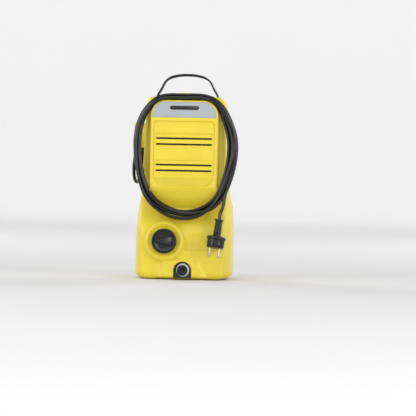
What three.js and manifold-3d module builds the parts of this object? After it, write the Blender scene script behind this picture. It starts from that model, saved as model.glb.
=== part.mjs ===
// Compact mains pressure washer, built up from its separate pieces.
//
// Millimetres, +Z up, the front with the knob and the hose outlet faces -Y.
// Every piece is modelled about the housing's own centre line; the last group
// moves the whole machine so that the origin is at the centre of its underside.

import * as THREE from "three";
import { mergeVertices } from "three/addons/utils/BufferGeometryUtils.js";
import Module from "manifold-3d";

const wasm = await Module();
wasm.setup();

// ---------------------------------------------------------------- sizes

const clearance = 0.3;            // gap between two pieces that touch
const wall = 2.6;                 // moulded wall of the housing

// Housing, seen from the front
const bodyHeight = 374;           // crown of the top
const groundGap = 1.5;            // the feet hold the shell this far off the ground
const baseHalfWidth = 96.5;        // at the flared foot of the sides
const waistHalfWidth = 86.5;       // front face, and the sides just above the flare
const topHalfWidth = 79;
const shoulderHeight = 155;       // where the flare of the sides ends
const flareStart = 79;
const bottomRounding = 20;
const topRounding = 15;
const crownHeight = 8;            // rise of the top from its shoulders to its middle

// Housing, seen from the side
const baseFront = -68.8;
const waistFront = -47;
const topFront = -43;
const baseBack = 68;
const topBack = 60;
const frontSlopeStart = 90;
const frontSlopeEnd = 158;
const faceCrown = 3;              // the front face bulges this far in plan
const frontCorner = 9;
const backCorner = 18;
const sideSet = 42;               // depth over which the flare swells out
const partingY = 8;               // the two shells meet here

// Raised block on the front that the lead is wound round
const blockHalfWidth = 67.5;
const blockFoot = 168;
const blockTop = 361;
const blockCorner = 30;
const blockFront = -70;
const panelDepth = 2;
const railWidth = 7;
const ventHalfWidth = 56;
const ventHeight = 3.2;
const ventLevels = [283, 271.3, 229.5, 218.2];
const plateFoot = 325.6;
const plateThickness = 1.4;
const plateMargin = 3.6;

// Carrying strap
const strapWidth = 24;
const strapThickness = 3.6;
const strapFootX = 62;
const strapRise = 45;             // from the shoulders of the shell to the grip
const strapGripHalf = 37;
const strapDrop = 10;             // how far the strap sinks into its slots
const strapY = partingY;

// Switch knob
const knobX = -35;
const knobZ = 77;
const knobRadius = 25;
const knobFront = -86;
const bossRadius = 38;
const bossFront = -74.6;
const dishRadius = 29;
const dishFloor = -70.8;
const knobShaftRadius = 4;
const switchTravel = 2;

// Hose outlet
const outletX = 2;
const outletZ = 19;
const outletRadius = 17.6;
const outletFoot = 4;
const plinthFront = -71.8;
const ringOuter = 14.4;
const socketRadius = 11;
const socketBore = 8;
const ringLength = 10;
const ringTravel = 3;

// Pump, gears and motor, on two upright axes
const pumpX = 16;
const pumpY = 10;
const gearTeeth = 40;
const pinionTeeth = 12;
const gearModule = 1.5;
const motorX = pumpX - (gearTeeth + pinionTeeth) * gearModule / 2;
const motorY = pumpY;
const headFoot = 10;
const headTop = 40;
const headHalf = 42;
const pumpRadius = 36;
const pumpTop = 68;
const pistonCount = 3;
const pistonCircle = 17;
const pistonRadius = 6;
const pistonTop = 80.5;
const swashTilt = THREE.MathUtils.degToRad(8);
const swashLevel = 91.6;          // middle of the tilted thrust bearing
const swashRadius = 28;
const thrustRadius = 26;
const thrustThickness = 3;
const gearFoot = 108.5;
const gearTop = 117;
const caseTop = 134;
const caseWall = 3.5;
const statorFoot = 150;
const statorTop = 196;
const statorRadius = 42;
const rotorRadius = 24.2;
const shaftRadius = 4;
const shaftTop = 268;
const bridgeFoot = 236;
const bridgeTop = 244;
const fanFoot = 250;
const fanRadius = 38;

// Water inlet at the back
const inletX = 44;
const inletZ = 26;
const inletEnd = 86;

// Holder for the spray gun, on the left side
const holderReach = 27;           // from the side wall to its outer face
const holderFoot = 262;
const holderTop = 313;
const holderFront = 4;
const holderBack = 54;
const holderWall = 3.2;

// Mains lead
const cordDiameter = 6.5;
const glandX = -91;
const glandY = -4;
const glandTop = 262;
const glandEnd = 228;
const plugLean = THREE.MathUtils.degToRad(7);
const plugPitch = THREE.MathUtils.degToRad(-9);
const pinSpacing = 19;
const pinRadius = 2.4;
const plugBodyRadius = 18.6;

// ---------------------------------------------------------------- materials

function finish(colour, roughness, metalness = 0) {
  return new THREE.MeshStandardMaterial({ color: colour, roughness, metalness });
}

const yellowPlastic = finish(0xe8d43a, 0.4);
const blackPlastic = finish(0x1b1b1c, 0.42);
const greyPlastic = finish(0xb4bcc3, 0.45);
const blackRubber = finish(0x141414, 0.6);
const cordJacket = finish(0x161616, 0.35);
const steel = finish(0xb8babd, 0.3, 1);
const aluminium = finish(0xc3c5c8, 0.45, 1);
const copper = finish(0xb4622e, 0.35, 1);
const brass = finish(0xc9a44c, 0.35, 1);
const carbon = finish(0x2a2a2c, 0.8);
const whitePlastic = finish(0xd8d6cf, 0.5);

// ---------------------------------------------------------------- solids

// A closed three.js geometry as a solid that can be joined and cut.
function solid(geometry) {
  const bare = new THREE.BufferGeometry();
  bare.setAttribute("position", geometry.attributes.position.clone());
  if (geometry.index) {
    bare.setIndex(geometry.index.clone());
  }
  const merged = mergeVertices(bare, 1e-4);
  const corners = merged.index.array;
  const kept = [];
  for (let i = 0; i < corners.length; i += 3) {
    const [a, b, c] = [corners[i], corners[i + 1], corners[i + 2]];
    if (a !== b && b !== c && c !== a) {
      kept.push(a, b, c);
    }
  }
  return new wasm.Manifold(new wasm.Mesh({
    numProp: 3,
    vertProperties: new Float32Array(merged.attributes.position.array),
    triVerts: new Uint32Array(kept),
  }));
}

function geometryOf(piece) {
  const mesh = piece.getMesh();
  const geometry = new THREE.BufferGeometry();
  geometry.setAttribute("position", new THREE.BufferAttribute(mesh.vertProperties.slice(), 3));
  geometry.setIndex(new THREE.BufferAttribute(mesh.triVerts.slice(), 1));
  geometry.computeVertexNormals();
  return geometry;
}

function box(x0, x1, y0, y1, z0, z1) {
  const geometry = new THREE.BoxGeometry(x1 - x0, y1 - y0, z1 - z0);
  geometry.translate((x0 + x1) / 2, (y0 + y1) / 2, (z0 + z1) / 2);
  return solid(geometry);
}

// A round bar from one height to another along an upright, sideways or fore-and-aft axis.
function rodZ(x, y, radius, from, to, sides = 20) {
  const geometry = new THREE.CylinderGeometry(radius, radius, to - from, sides);
  geometry.rotateX(Math.PI / 2);
  geometry.translate(x, y, (from + to) / 2);
  return solid(geometry);
}

function rodY(x, z, radius, from, to, sides = 20) {
  const geometry = new THREE.CylinderGeometry(radius, radius, to - from, sides);
  geometry.translate(x, (from + to) / 2, z);
  return solid(geometry);
}

function rodX(y, z, radius, from, to, sides = 20) {
  const geometry = new THREE.CylinderGeometry(radius, radius, to - from, sides);
  geometry.rotateZ(Math.PI / 2);
  geometry.translate((from + to) / 2, y, z);
  return solid(geometry);
}

// A turned piece: its profile is a closed loop of [radius, height along the axis].
function turned(profile, sides = 24) {
  const points = profile.map(([radius, along]) => new THREE.Vector2(radius, along));
  if (THREE.ShapeUtils.area(points) < 0) {
    points.reverse();
  }
  points.push(points[0].clone());
  return new THREE.LatheGeometry(points, sides);
}

function turnedZ(x, y, profile, sides) {
  const geometry = turned(profile, sides);
  geometry.rotateX(Math.PI / 2);
  geometry.translate(x, y, 0);
  return solid(geometry);
}

function turnedY(x, z, profile, sides) {
  const geometry = turned(profile, sides);
  geometry.translate(x, 0, z);
  return solid(geometry);
}

function ringZ(x, y, inner, outer, from, to, sides) {
  return turnedZ(x, y, [[inner, from], [outer, from], [outer, to], [inner, to]], sides);
}

// A plan outline (x, y) raised from one height to another.
function raised(shape, from, to, curveSegments = 8) {
  const geometry = new THREE.ExtrudeGeometry(shape, {
    depth: to - from,
    bevelEnabled: false,
    curveSegments,
  });
  geometry.translate(0, 0, from);
  return solid(geometry);
}

// A front outline (x, z) pushed from y = from back to y = to.
function pushed(shape, from, to, curveSegments = 8) {
  const geometry = new THREE.ExtrudeGeometry(shape, {
    depth: to - from,
    bevelEnabled: false,
    curveSegments,
  });
  geometry.rotateX(Math.PI / 2);
  geometry.translate(0, to, 0);
  return solid(geometry);
}

// A closed skin through rings of equal point count, each ring a list of [x, y] and a height.
function loft(rings) {
  const count = rings[0].points.length;
  const positions = [];
  for (const ring of rings) {
    for (const [x, y] of ring.points) {
      positions.push(x, y, ring.z);
    }
  }
  const index = [];
  for (let level = 0; level < rings.length - 1; level += 1) {
    for (let i = 0; i < count; i += 1) {
      const a = level * count + i;
      const b = level * count + (i + 1) % count;
      index.push(a, b, b + count, a, b + count, a + count);
    }
  }
  const last = (rings.length - 1) * count;
  for (let i = 1; i < count - 1; i += 1) {
    index.push(0, i + 1, i, last, last + i, last + i + 1);
  }
  const geometry = new THREE.BufferGeometry();
  geometry.setAttribute("position", new THREE.Float32BufferAttribute(positions, 3));
  geometry.setIndex(index);
  return solid(geometry);
}

// A round bar bent along a curve through the given points.
function tube(points, radius, steps, sides = 8) {
  const curve = new THREE.CatmullRomCurve3(points.map((p) => new THREE.Vector3(...p)));
  const section = new THREE.Shape();
  for (let i = 0; i < sides; i += 1) {
    const angle = 2 * Math.PI * i / sides;
    const [x, y] = [radius * Math.cos(angle), radius * Math.sin(angle)];
    if (i === 0) {
      section.moveTo(x, y);
    } else {
      section.lineTo(x, y);
    }
  }
  return solid(new THREE.ExtrudeGeometry(section, { extrudePath: curve, steps }));
}

function coilSpring(x, y, radius, wire, from, to, turns) {
  const points = [];
  const perTurn = 7;
  for (let i = 0; i <= turns * perTurn; i += 1) {
    const angle = 2 * Math.PI * i / perTurn;
    const height = from + wire + (to - from - 2 * wire) * i / (turns * perTurn);
    points.push([x + radius * Math.cos(angle), y + radius * Math.sin(angle), height]);
  }
  return tube(points, wire, turns * perTurn, 4);
}

const washer = new THREE.Group();

function place(name, piece, material, parent = washer) {
  const mesh = new THREE.Mesh(geometryOf(piece), material);
  mesh.name = name;
  parent.add(mesh);
  return mesh;
}

// ---------------------------------------------------------------- housing

const lerp = THREE.MathUtils.lerp;
const clamp = THREE.MathUtils.clamp;
const smoothstep = THREE.MathUtils.smoothstep;
const topEdge = bodyHeight - crownHeight;

// Half widths and depths of the housing at a height, before its top and bottom are rounded.
function housingSizes(z) {
  const rise = clamp((z - shoulderHeight) / (topEdge - shoulderHeight), 0, 1);
  const face = lerp(waistHalfWidth, topHalfWidth, rise);
  const flare = clamp((z - flareStart) / (shoulderHeight - flareStart), 0, 1);
  const swell = (baseHalfWidth - waistHalfWidth) * Math.sqrt(1 - flare * flare);
  const slope = smoothstep(z, frontSlopeStart, frontSlopeEnd);
  const front = lerp(lerp(baseFront, waistFront, slope), topFront, rise);
  return { face, side: face + swell, front, back: lerp(baseBack, topBack, rise) };
}

// Plan outline of the housing: crowned front, tight front corners, swelling sides, round back.
function housingOutline({ face, side, front, back }) {
  const corner = Math.min(frontCorner, face / 2);
  const round = Math.min(backCorner, side / 2, (back - front) / 3);
  const half = [];
  const flat = face - corner;
  for (const share of [1 / 3, 2 / 3]) {
    half.push([flat * share, front + faceCrown * share * share]);
  }
  const arcSteps = 3;
  for (let i = 0; i <= arcSteps; i += 1) {
    const angle = Math.PI / 2 * i / arcSteps;
    half.push([flat + corner * Math.sin(angle), front + faceCrown + corner * (1 - Math.cos(angle))]);
  }
  const cornerEnd = front + faceCrown + corner;
  const sideStart = Math.min(cornerEnd + sideSet, back - round - 1);
  half.push([lerp(face, side, 0.72), lerp(cornerEnd, sideStart, 0.4)]);
  half.push([side, sideStart]);
  for (let i = 0; i <= arcSteps; i += 1) {
    const angle = Math.PI / 2 * i / arcSteps;
    half.push([side - round * (1 - Math.cos(angle)), back - round * (1 - Math.sin(angle))]);
  }
  const mirrored = half.map(([x, y]) => [-x, y]).reverse();
  return [[0, front], ...half, [0, back], ...mirrored];
}

function shrunk(sizes, across, deep) {
  return {
    face: Math.max(sizes.face - across, 4),
    side: Math.max(sizes.side - across, 4),
    front: sizes.front + deep,
    back: sizes.back - deep,
  };
}

// The housing's rings from its underside to its crown, set in by a wall for the inner skin.
function housingRings(inset) {
  const rings = [];
  const floor = groundGap + inset;
  const ceiling = bodyHeight - inset;
  const add = (z, sizes) => rings.push({ z: clamp(z, floor, ceiling), sizes });
  for (const degrees of [0, 28, 57, 90]) {
    const angle = THREE.MathUtils.degToRad(degrees);
    const z = floor + bottomRounding * (1 - Math.cos(angle));
    const tuck = bottomRounding * (1 - Math.sin(angle));
    add(z, shrunk(housingSizes(z), inset + tuck, inset + tuck * 0.45));
  }
  const flareShares = [0, 0.22, 0.42, 0.6, 0.76, 0.9, 0.97, 1];
  for (const share of flareShares) {
    const z = lerp(flareStart, shoulderHeight, share);
    add(z, shrunk(housingSizes(z), inset, inset));
  }
  add(frontSlopeEnd + 6, shrunk(housingSizes(frontSlopeEnd + 6), inset, inset));
  for (const degrees of [0, 42, 80]) {
    const angle = THREE.MathUtils.degToRad(degrees);
    const z = topEdge - inset - topRounding * (1 - Math.sin(angle));
    const tuck = topRounding * (1 - Math.cos(angle));
    add(z, shrunk(housingSizes(z), inset + tuck, inset + tuck * 0.5));
  }
  const crown = topHalfWidth - topRounding;
  for (const share of [0.6, 0.1]) {
    const z = topEdge - inset + crownHeight * (1 - share * share);
    const sizes = housingSizes(topEdge);
    add(z, shrunk(sizes, inset + sizes.face - crown * share, inset + topRounding * 0.5 + 3));
  }
  return rings.map(({ z, sizes }) => ({ z, points: housingOutline(sizes) }));
}

const housingOuter = loft(housingRings(0));
const housingInner = loft(housingRings(wall));
const reach = 400;

// Arch-topped outline of the block, shrunk by a margin on its top and sides.
function blockOutline(margin, foot) {
  const half = blockHalfWidth - margin;
  const radius = blockCorner - margin;
  const spring = blockTop - blockCorner;
  const shape = new THREE.Shape();
  shape.moveTo(-half, foot);
  shape.lineTo(-half, spring);
  shape.absarc(radius - half, spring, radius, Math.PI, Math.PI / 2, true);
  shape.absarc(half - radius, spring, radius, Math.PI / 2, 0, true);
  shape.lineTo(half, foot);
  return shape;
}

// Tilted wedge that chamfers the foot of the block.
function footChamfer(set) {
  const wedge = new THREE.BoxGeometry(2 * reach, 40, 60);
  wedge.translate(0, -20, -30);
  wedge.rotateX(THREE.MathUtils.degToRad(-48));
  wedge.translate(0, blockFront + set, blockFoot + 18 + set * 0.4);
  return solid(wedge);
}

function screwPosts() {
  const low = { x: baseHalfWidth - 21, z: 34 };
  const high = { x: topHalfWidth - 12, z: 322 };
  return [
    { name: "housing_screw_1", x: -low.x, z: low.z },
    { name: "housing_screw_2", x: low.x, z: low.z },
    { name: "housing_screw_3", x: -high.x, z: high.z },
    { name: "housing_screw_4", x: high.x, z: high.z },
  ];
}

const postRadius = 5;
const screwRadius = 2;
const screwHeadRadius = 3.8;
const screwHeadY = 30;
const screwTip = -12;

const footRadius = 9;
const footStem = 3;
const footSeat = 4.8;
const footInsetX = 41;
const footInsetY = 24;
const feet = [
  { name: "foot_front_left", x: footInsetX - baseHalfWidth, y: baseFront + footInsetY },
  { name: "foot_front_right", x: baseHalfWidth - footInsetX, y: baseFront + footInsetY },
  { name: "foot_rear_left", x: footInsetX - baseHalfWidth, y: baseBack - footInsetY },
  { name: "foot_rear_right", x: baseHalfWidth - footInsetX, y: baseBack - footInsetY },
];

// The strap runs up from its slot, leans inwards and arches over between the two shoulders.
const strapFootZ = topEdge - wall - 6;
const strapTop = topEdge + strapRise;
const strapLine = [
  [-strapFootX - 2, strapFootZ - 4],
  [-strapFootX, topEdge],
  [-strapFootX + 9, topEdge + 17],
  [-strapFootX + 18, strapTop - 12],
  [-strapGripHalf + 10, strapTop - 3],
  [0, strapTop],
  [strapGripHalf - 10, strapTop - 3],
  [strapFootX - 18, strapTop - 12],
  [strapFootX - 9, topEdge + 17],
  [strapFootX, topEdge],
  [strapFootX + 2, strapFootZ - 4],
];
const slotOuter = strapFootX + 3.6;
const slotInner = strapFootX - 8.6;

function strapSlots() {
  const y0 = strapY - strapWidth / 2 - 1;
  const y1 = strapY + strapWidth / 2 + 1;
  const left = box(-slotOuter, -slotInner, y0, y1, topEdge - 14, bodyHeight + 4);
  return left.add(box(slotInner, slotOuter, y0, y1, topEdge - 14, bodyHeight + 4));
}

function housingShell() {
  let shell = housingOuter.subtract(housingInner);
  const block = pushed(blockOutline(0, blockFoot), blockFront, topFront + 5);
  const blockHollow = pushed(blockOutline(wall, blockFoot + wall), blockFront + wall + panelDepth,
    topFront + 14);
  const chamfered = block.subtract(footChamfer(0));
  const hollow = blockHollow.subtract(footChamfer(wall + 1));
  shell = shell.add(chamfered.subtract(hollow)).subtract(hollow);
  const panel = pushed(blockOutline(railWidth, blockFoot + 24), blockFront - 5,
    blockFront + panelDepth);
  const aboveStep = box(-reach, reach, -reach, reach, plateFoot - 9, reach);
  shell = shell.subtract(panel.subtract(aboveStep));
  const plateSeat = pushed(blockOutline(plateMargin - clearance, blockFoot), blockFront - 5,
    blockFront + plateThickness);
  const belowPlate = box(-reach, reach, -reach, reach, 0, plateFoot - clearance);
  shell = shell.subtract(plateSeat.subtract(belowPlate));
  for (const level of ventLevels) {
    shell = shell.subtract(box(-ventHalfWidth, ventHalfWidth, blockFront - 5, blockFront + 9,
      level - ventHeight / 2, level + ventHeight / 2));
  }
  return shell;
}

function addKnobBoss(shell) {
  const boss = turnedY(knobX, knobZ, [
    [0, baseFront + 4], [bossRadius, baseFront + 4], [bossRadius - 5, bossFront], [0, bossFront],
  ], 32);
  const dish = rodY(knobX, knobZ, dishRadius, bossFront - 5, dishFloor, 32);
  const hole = rodY(knobX, knobZ, knobShaftRadius + clearance, bossFront - 5, baseFront + 9);
  return shell.add(boss).subtract(dish).subtract(hole);
}

// Arch-topped outline round the hose outlet, grown by a margin.
function outletOutline(margin) {
  const radius = outletRadius + margin;
  const shape = new THREE.Shape();
  shape.moveTo(outletX - radius, outletFoot - margin);
  shape.lineTo(outletX - radius, outletZ);
  shape.absarc(outletX, outletZ, radius, Math.PI, 0, true);
  shape.lineTo(outletX + radius, outletFoot - margin);
  return shape;
}

function addOutletPlinth(shell) {
  const shape = new THREE.Shape();
  shape.moveTo(outletX - 48, outletFoot + 2);
  shape.lineTo(outletX - 38, outletZ + outletRadius);
  shape.lineTo(outletX + 30, outletZ + outletRadius);
  shape.lineTo(outletX + 46, outletFoot + 2);
  const plinth = pushed(shape, plinthFront, baseFront + 5);
  const holeBack = plinthFront + ringLength + ringTravel + 1;
  const hole = pushed(outletOutline(clearance), plinthFront - 5, holeBack, 10);
  return shell.add(plinth).subtract(hole);
}

const holderPegs = [
  { y: holderFront + 14, z: (holderFoot + holderTop) / 2 },
  { y: holderBack - 14, z: (holderFoot + holderTop) / 2 },
];
const pegRadius = 3;

function addFittings(shell) {
  let result = shell;
  for (const { x, z } of screwPosts()) {
    const post = rodY(x, z, postRadius, -reach, reach, 14).intersect(housingOuter);
    const shank = rodY(x, z, screwRadius + clearance, screwTip - 2, reach, 12);
    const counterbore = rodY(x, z, screwHeadRadius + clearance, screwHeadY - 3, reach, 12);
    result = result.add(post).subtract(shank).subtract(counterbore);
  }
  for (const { x, y } of feet) {
    result = result.add(rodZ(x, y, footRadius + 3, groundGap + 0.5, footSeat + wall));
    result = result.subtract(rodZ(x, y, footRadius + clearance, -5, footSeat + clearance));
    result = result.subtract(rodZ(x, y, footStem + clearance, -5, footSeat + wall + 5, 12));
  }
  for (const { y, z } of holderPegs) {
    result = result.subtract(rodX(y, z, pegRadius + clearance, -reach, -topHalfWidth + 8, 12));
  }
  result = result.subtract(rodX(glandY, glandTop - 6, 6 + clearance, -reach, -topHalfWidth + 6, 16));
  result = result.subtract(rodY(inletX, inletZ, 13.6, baseBack - 9, reach, 24));
  const ribSpan = headHalf - 12;
  const ribTop = headFoot - clearance;
  for (const y of [pumpY - 26, pumpY + 26]) {
    result = result.add(box(pumpX - ribSpan, pumpX + ribSpan, y - 2, y + 2, groundGap + 1, ribTop));
  }
  const grilleLevels = [150, 162, 174, 186, 198, 210, 222];
  for (const level of grilleLevels) {
    result = result.subtract(box(-36, 36, topBack - 6, reach, level - 1.6, level + 1.6));
  }
  return result.subtract(strapSlots());
}

const housing = addFittings(addOutletPlinth(addKnobBoss(housingShell())));
const frontHalf = box(-reach, reach, -reach, partingY - clearance / 2, -reach, reach + 100);
const rearHalf = box(-reach, reach, partingY + clearance / 2, reach, -reach, reach + 100);
place("front_housing", housing.intersect(frontHalf), yellowPlastic);
place("rear_housing", housing.intersect(rearHalf), yellowPlastic);

function labelPlate() {
  const plate = pushed(blockOutline(plateMargin, blockFoot), blockFront + 0.1,
    blockFront + plateThickness - clearance);
  return plate.subtract(box(-reach, reach, -reach, reach, 0, plateFoot));
}
place("label_plate", labelPlate(), greyPlastic);

for (const { name, x, z } of screwPosts()) {
  const shank = rodY(x, z, screwRadius, screwTip, screwHeadY - 3 + clearance, 10);
  const head = rodY(x, z, screwHeadRadius, screwHeadY - 3 + clearance, screwHeadY, 14);
  const socket = rodY(x, z, 1.4, screwHeadY - 1.6, screwHeadY + 1, 6);
  place(name, shank.add(head).subtract(socket), steel);
}

for (const { name, x, y } of feet) {
  const pad = rodZ(x, y, footRadius, 0, footSeat);
  const stem = rodZ(x, y, footStem, footSeat - 1, footSeat + wall + 1, 12);
  place(name, pad.add(stem), blackRubber);
}

// ---------------------------------------------------------------- carrying strap

function carryStrap() {
  const line = strapLine.map(([x, z]) => new THREE.Vector3(x, strapY, z));
  const curve = new THREE.CatmullRomCurve3(line);
  const steps = 36;
  const outline = new THREE.Shape();
  const above = [];
  const below = [];
  for (let i = 0; i <= steps; i += 1) {
    const at = curve.getPoint(i / steps);
    const along = curve.getTangent(i / steps);
    const offset = strapThickness / 2;
    above.push([at.x - along.z * offset, at.z + along.x * offset]);
    below.push([at.x + along.z * offset, at.z - along.x * offset]);
  }
  const rim = [...above, ...below.reverse()];
  rim.forEach(([x, z], i) => {
    if (i === 0) {
      outline.moveTo(x, z);
    } else {
      outline.lineTo(x, z);
    }
  });
  let strap = pushed(outline, strapY - strapWidth / 2, strapY + strapWidth / 2);
  const stopHalfX = 6.5;
  for (const side of [-1, 1]) {
    const x = side * (strapFootX + 0.6);
    strap = strap.add(box(x - stopHalfX, x + stopHalfX, strapY - strapWidth / 2 - 5,
      strapY + strapWidth / 2 + 5, strapFootZ - 7, strapFootZ - 1));
  }
  return strap;
}
place("carry_strap", carryStrap(), blackRubber);

// ---------------------------------------------------------------- gun holder

function gunHolder() {
  const inner = -topHalfWidth - 1;
  const outer = -(topHalfWidth + 2 + holderReach);
  const block = new THREE.Shape();
  const bend = 12;
  block.moveTo(inner + 20, holderFront);
  block.lineTo(outer + bend, holderFront);
  block.absarc(outer + bend, holderFront + bend, bend, Math.PI * 1.5, Math.PI, true);
  block.absarc(outer + bend, holderBack - bend, bend, Math.PI, Math.PI / 2, true);
  block.lineTo(inner + 20, holderBack);
  const hole = new THREE.Shape();
  const inside = bend - holderWall;
  hole.moveTo(inner - 3 - holderWall, holderFront + holderWall);
  hole.lineTo(outer + bend, holderFront + holderWall);
  hole.absarc(outer + bend, holderFront + bend, inside, Math.PI * 1.5, Math.PI, true);
  hole.absarc(outer + bend, holderBack - bend, inside, Math.PI, Math.PI / 2, true);
  hole.lineTo(inner - 3 - holderWall, holderBack - holderWall);
  let holder = raised(block, holderFoot, holderTop, 5);
  holder = holder.subtract(raised(hole, holderFoot - 5, holderTop + 5, 5));
  holder = holder.subtract(housingOuter.translate([-clearance, 0, 0]));
  holder = holder.subtract(housingOuter);
  for (const { y, z } of holderPegs) {
    holder = holder.add(rodX(y, z, pegRadius, inner - 5, -topHalfWidth + wall + 4, 10));
  }
  return holder;
}
place("gun_holder", gunHolder(), yellowPlastic);

// ---------------------------------------------------------------- switch

function switchKnob() {
  const disc = turnedY(knobX, knobZ, [
    [0, dishFloor - 0.6], [knobRadius, dishFloor - 0.6], [knobRadius, knobFront + 6],
    [knobRadius - 1.5, knobFront + 4.5], [0, knobFront + 4.5],
  ], 32);
  const pointer = new THREE.Shape();
  pointer.moveTo(knobX - knobRadius + 4, knobZ - 2);
  pointer.lineTo(knobX + knobRadius - 8, knobZ - 11);
  pointer.lineTo(knobX + knobRadius - 8, knobZ + 11);
  pointer.lineTo(knobX - knobRadius + 4, knobZ + 2);
  const grip = pushed(pointer, knobFront, knobFront + 5);
  const bore = rodY(knobX, knobZ, knobShaftRadius + clearance, knobFront + 6, 0, 16);
  return disc.add(grip).subtract(bore);
}
place("switch_knob", switchKnob(), blackPlastic);

const camRadius = 6;
const camFront = -57;
const camBack = -51;
const switchBack = -44;

// The cam is a spiral: a quarter turn brings its high side round to the plunger.
function switchShaft() {
  const bar = rodY(knobX, knobZ, knobShaftRadius, knobFront + 7, switchBack + 2, 16);
  const outline = new THREE.Shape();
  const steps = 24;
  for (let i = 0; i <= steps; i += 1) {
    const turn = 2 * Math.PI * i / steps;
    const rise = clamp(turn / (Math.PI / 2), 0, 1) * switchTravel;
    const fall = clamp((2 * Math.PI - turn) / (Math.PI / 2), 0, 1);
    const radius = camRadius + rise * fall;
    const [x, z] = [knobX + radius * Math.sin(turn), knobZ - radius * Math.cos(turn)];
    if (i === 0) {
      outline.moveTo(x, z);
    } else {
      outline.lineTo(x, z);
    }
  }
  return bar.add(pushed(outline, camFront, camBack));
}
place("switch_shaft", switchShaft(), greyPlastic);

const plungerTop = knobZ - camRadius - 0.8;
const plungerFoot = plungerTop - 13;
const switchTop = plungerTop - 5;
const switchFoot = switchTop - 27;
const plungerHalf = 2;

function mainsSwitch() {
  const body = box(knobX - 13, knobX + 13, camFront - 3, switchBack, switchFoot, switchTop);
  const plate = box(knobX - 13, knobX + 13, switchBack - 4, switchBack, switchTop - 2, knobZ + 12);
  const well = plungerHalf + clearance;
  const y = (camFront + camBack) / 2;
  const slot = box(knobX - well, knobX + well, y - well, y + well,
    plungerFoot - switchTravel - 1, switchTop + 2);
  const eye = rodY(knobX, knobZ, knobShaftRadius + clearance, switchBack - 8, switchBack + 4, 16);
  return body.add(plate).subtract(slot).subtract(eye);
}
place("mains_switch", mainsSwitch(), blackPlastic);

const plungerY = (camFront + camBack) / 2;
place("switch_plunger", box(knobX - plungerHalf, knobX + plungerHalf, plungerY - plungerHalf,
  plungerY + plungerHalf, plungerFoot, plungerTop), whitePlastic);

// ---------------------------------------------------------------- hose outlet

const bezelFront = plinthFront - 1.4;
const bezelBack = baseFront + 5;
const ringFront = bezelFront + 0.8;
const ringBack = ringFront + ringLength;
const flangeFront = ringBack + ringTravel + 1;
const headFront = pumpY - headHalf;

function outletBezel() {
  const plate = pushed(outletOutline(0), bezelFront, bezelBack, 10);
  return plate.subtract(rodY(outletX, outletZ, ringOuter + clearance, bezelFront - 5,
    bezelBack + 5, 28));
}
place("outlet_bezel", outletBezel(), blackPlastic);

place("outlet_release_ring", turnedY(outletX, outletZ, [
  [socketRadius + clearance, ringFront], [ringOuter, ringFront],
  [ringOuter, ringBack], [socketRadius + clearance, ringBack],
], 28), greyPlastic);

function outletSocket() {
  const barrel = turnedY(outletX, outletZ, [
    [0, ringFront + 1.6], [socketRadius, ringFront + 1.6], [socketRadius, flangeFront],
    [13.6, flangeFront], [13.6, flangeFront + 4], [9, flangeFront + 4], [9, headFront + 1.2],
    [7, headFront + 1.2], [7, headFront + 4.2], [9, headFront + 4.2], [9, headFront + 7],
    [0, headFront + 7],
  ], 24);
  const half = socketBore / 2;
  return barrel.subtract(box(outletX - half, outletX + half, ringFront - 5, ringFront + 22,
    outletZ - half, outletZ + half));
}
place("outlet_socket", outletSocket(), blackPlastic);

place("outlet_seal", turnedY(outletX, outletZ, [
  [7.3, headFront + 1.5], [9.1, headFront + 1.5], [9.1, headFront + 3.9], [7.3, headFront + 3.9],
], 16), blackRubber);

// ---------------------------------------------------------------- pump

const controlX = pumpX - 34;
const controlY = pumpY - 22;
const controlRadius = 4.7;
const headBack = pumpY + headHalf;

function cylinderHead() {
  let head = box(pumpX - headHalf, pumpX + headHalf, headFront, headBack, headFoot, headTop);
  head = head.subtract(rodY(outletX, outletZ, 9.4, headFront - 5, headFront + 8, 20));
  head = head.subtract(rodY(inletX, inletZ, 8.4, headBack - 7, headBack + 5, 20));
  const bore = controlRadius + clearance;
  head = head.subtract(rodZ(controlX, controlY, bore, headFoot - 5, headTop - 4, 16));
  return head.subtract(rodZ(controlX, controlY, 2.6, headFoot, headTop + 5, 12));
}
place("cylinder_head", cylinderHead(), aluminium);

place("control_piston", turnedZ(controlX, controlY, [
  [0, headFoot + 3], [controlRadius, headFoot + 3], [controlRadius, headFoot + 12],
  [2, headFoot + 12], [2, headTop + 8], [0, headTop + 8],
], 16), brass);
place("control_spring", coilSpring(controlX, controlY, 3.4, 0.5, headFoot + 12.4, headTop - 4.4, 5),
  steel);

const pistons = [];
for (let i = 0; i < pistonCount; i += 1) {
  const angle = 2 * Math.PI * i / pistonCount + Math.PI / 6;
  pistons.push({
    x: pumpX + pistonCircle * Math.cos(angle),
    y: pumpY + pistonCircle * Math.sin(angle),
  });
}

function pumpBlock() {
  let block = rodZ(pumpX, pumpY, pumpRadius, headTop + 0.4, pumpTop, 32);
  for (const { x, y } of pistons) {
    block = block.subtract(rodZ(x, y, pistonRadius + clearance, headTop + 3, pumpTop + 5, 16));
  }
  return block;
}
place("pump_block", pumpBlock(), aluminium);

pistons.forEach(({ x, y }, i) => {
  place(`piston_${i + 1}`, turnedZ(x, y, [
    [0, headTop + 6], [pistonRadius, headTop + 6], [pistonRadius, pistonTop - 3],
    [pistonRadius + 2.6, pistonTop - 3], [pistonRadius + 2.6, pistonTop], [0, pistonTop],
  ], 16), steel);
  place(`piston_spring_${i + 1}`, coilSpring(x, y, pistonRadius + 1.4, 0.6, pumpTop + 0.3,
    pistonTop - 3.3, 3), steel);
});

// ---------------------------------------------------------------- swash plate and gears

function tilted(geometry, height) {
  geometry.rotateX(Math.PI / 2);
  geometry.rotateY(swashTilt);
  geometry.translate(pumpX, pumpY, height);
  return solid(geometry);
}

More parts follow.
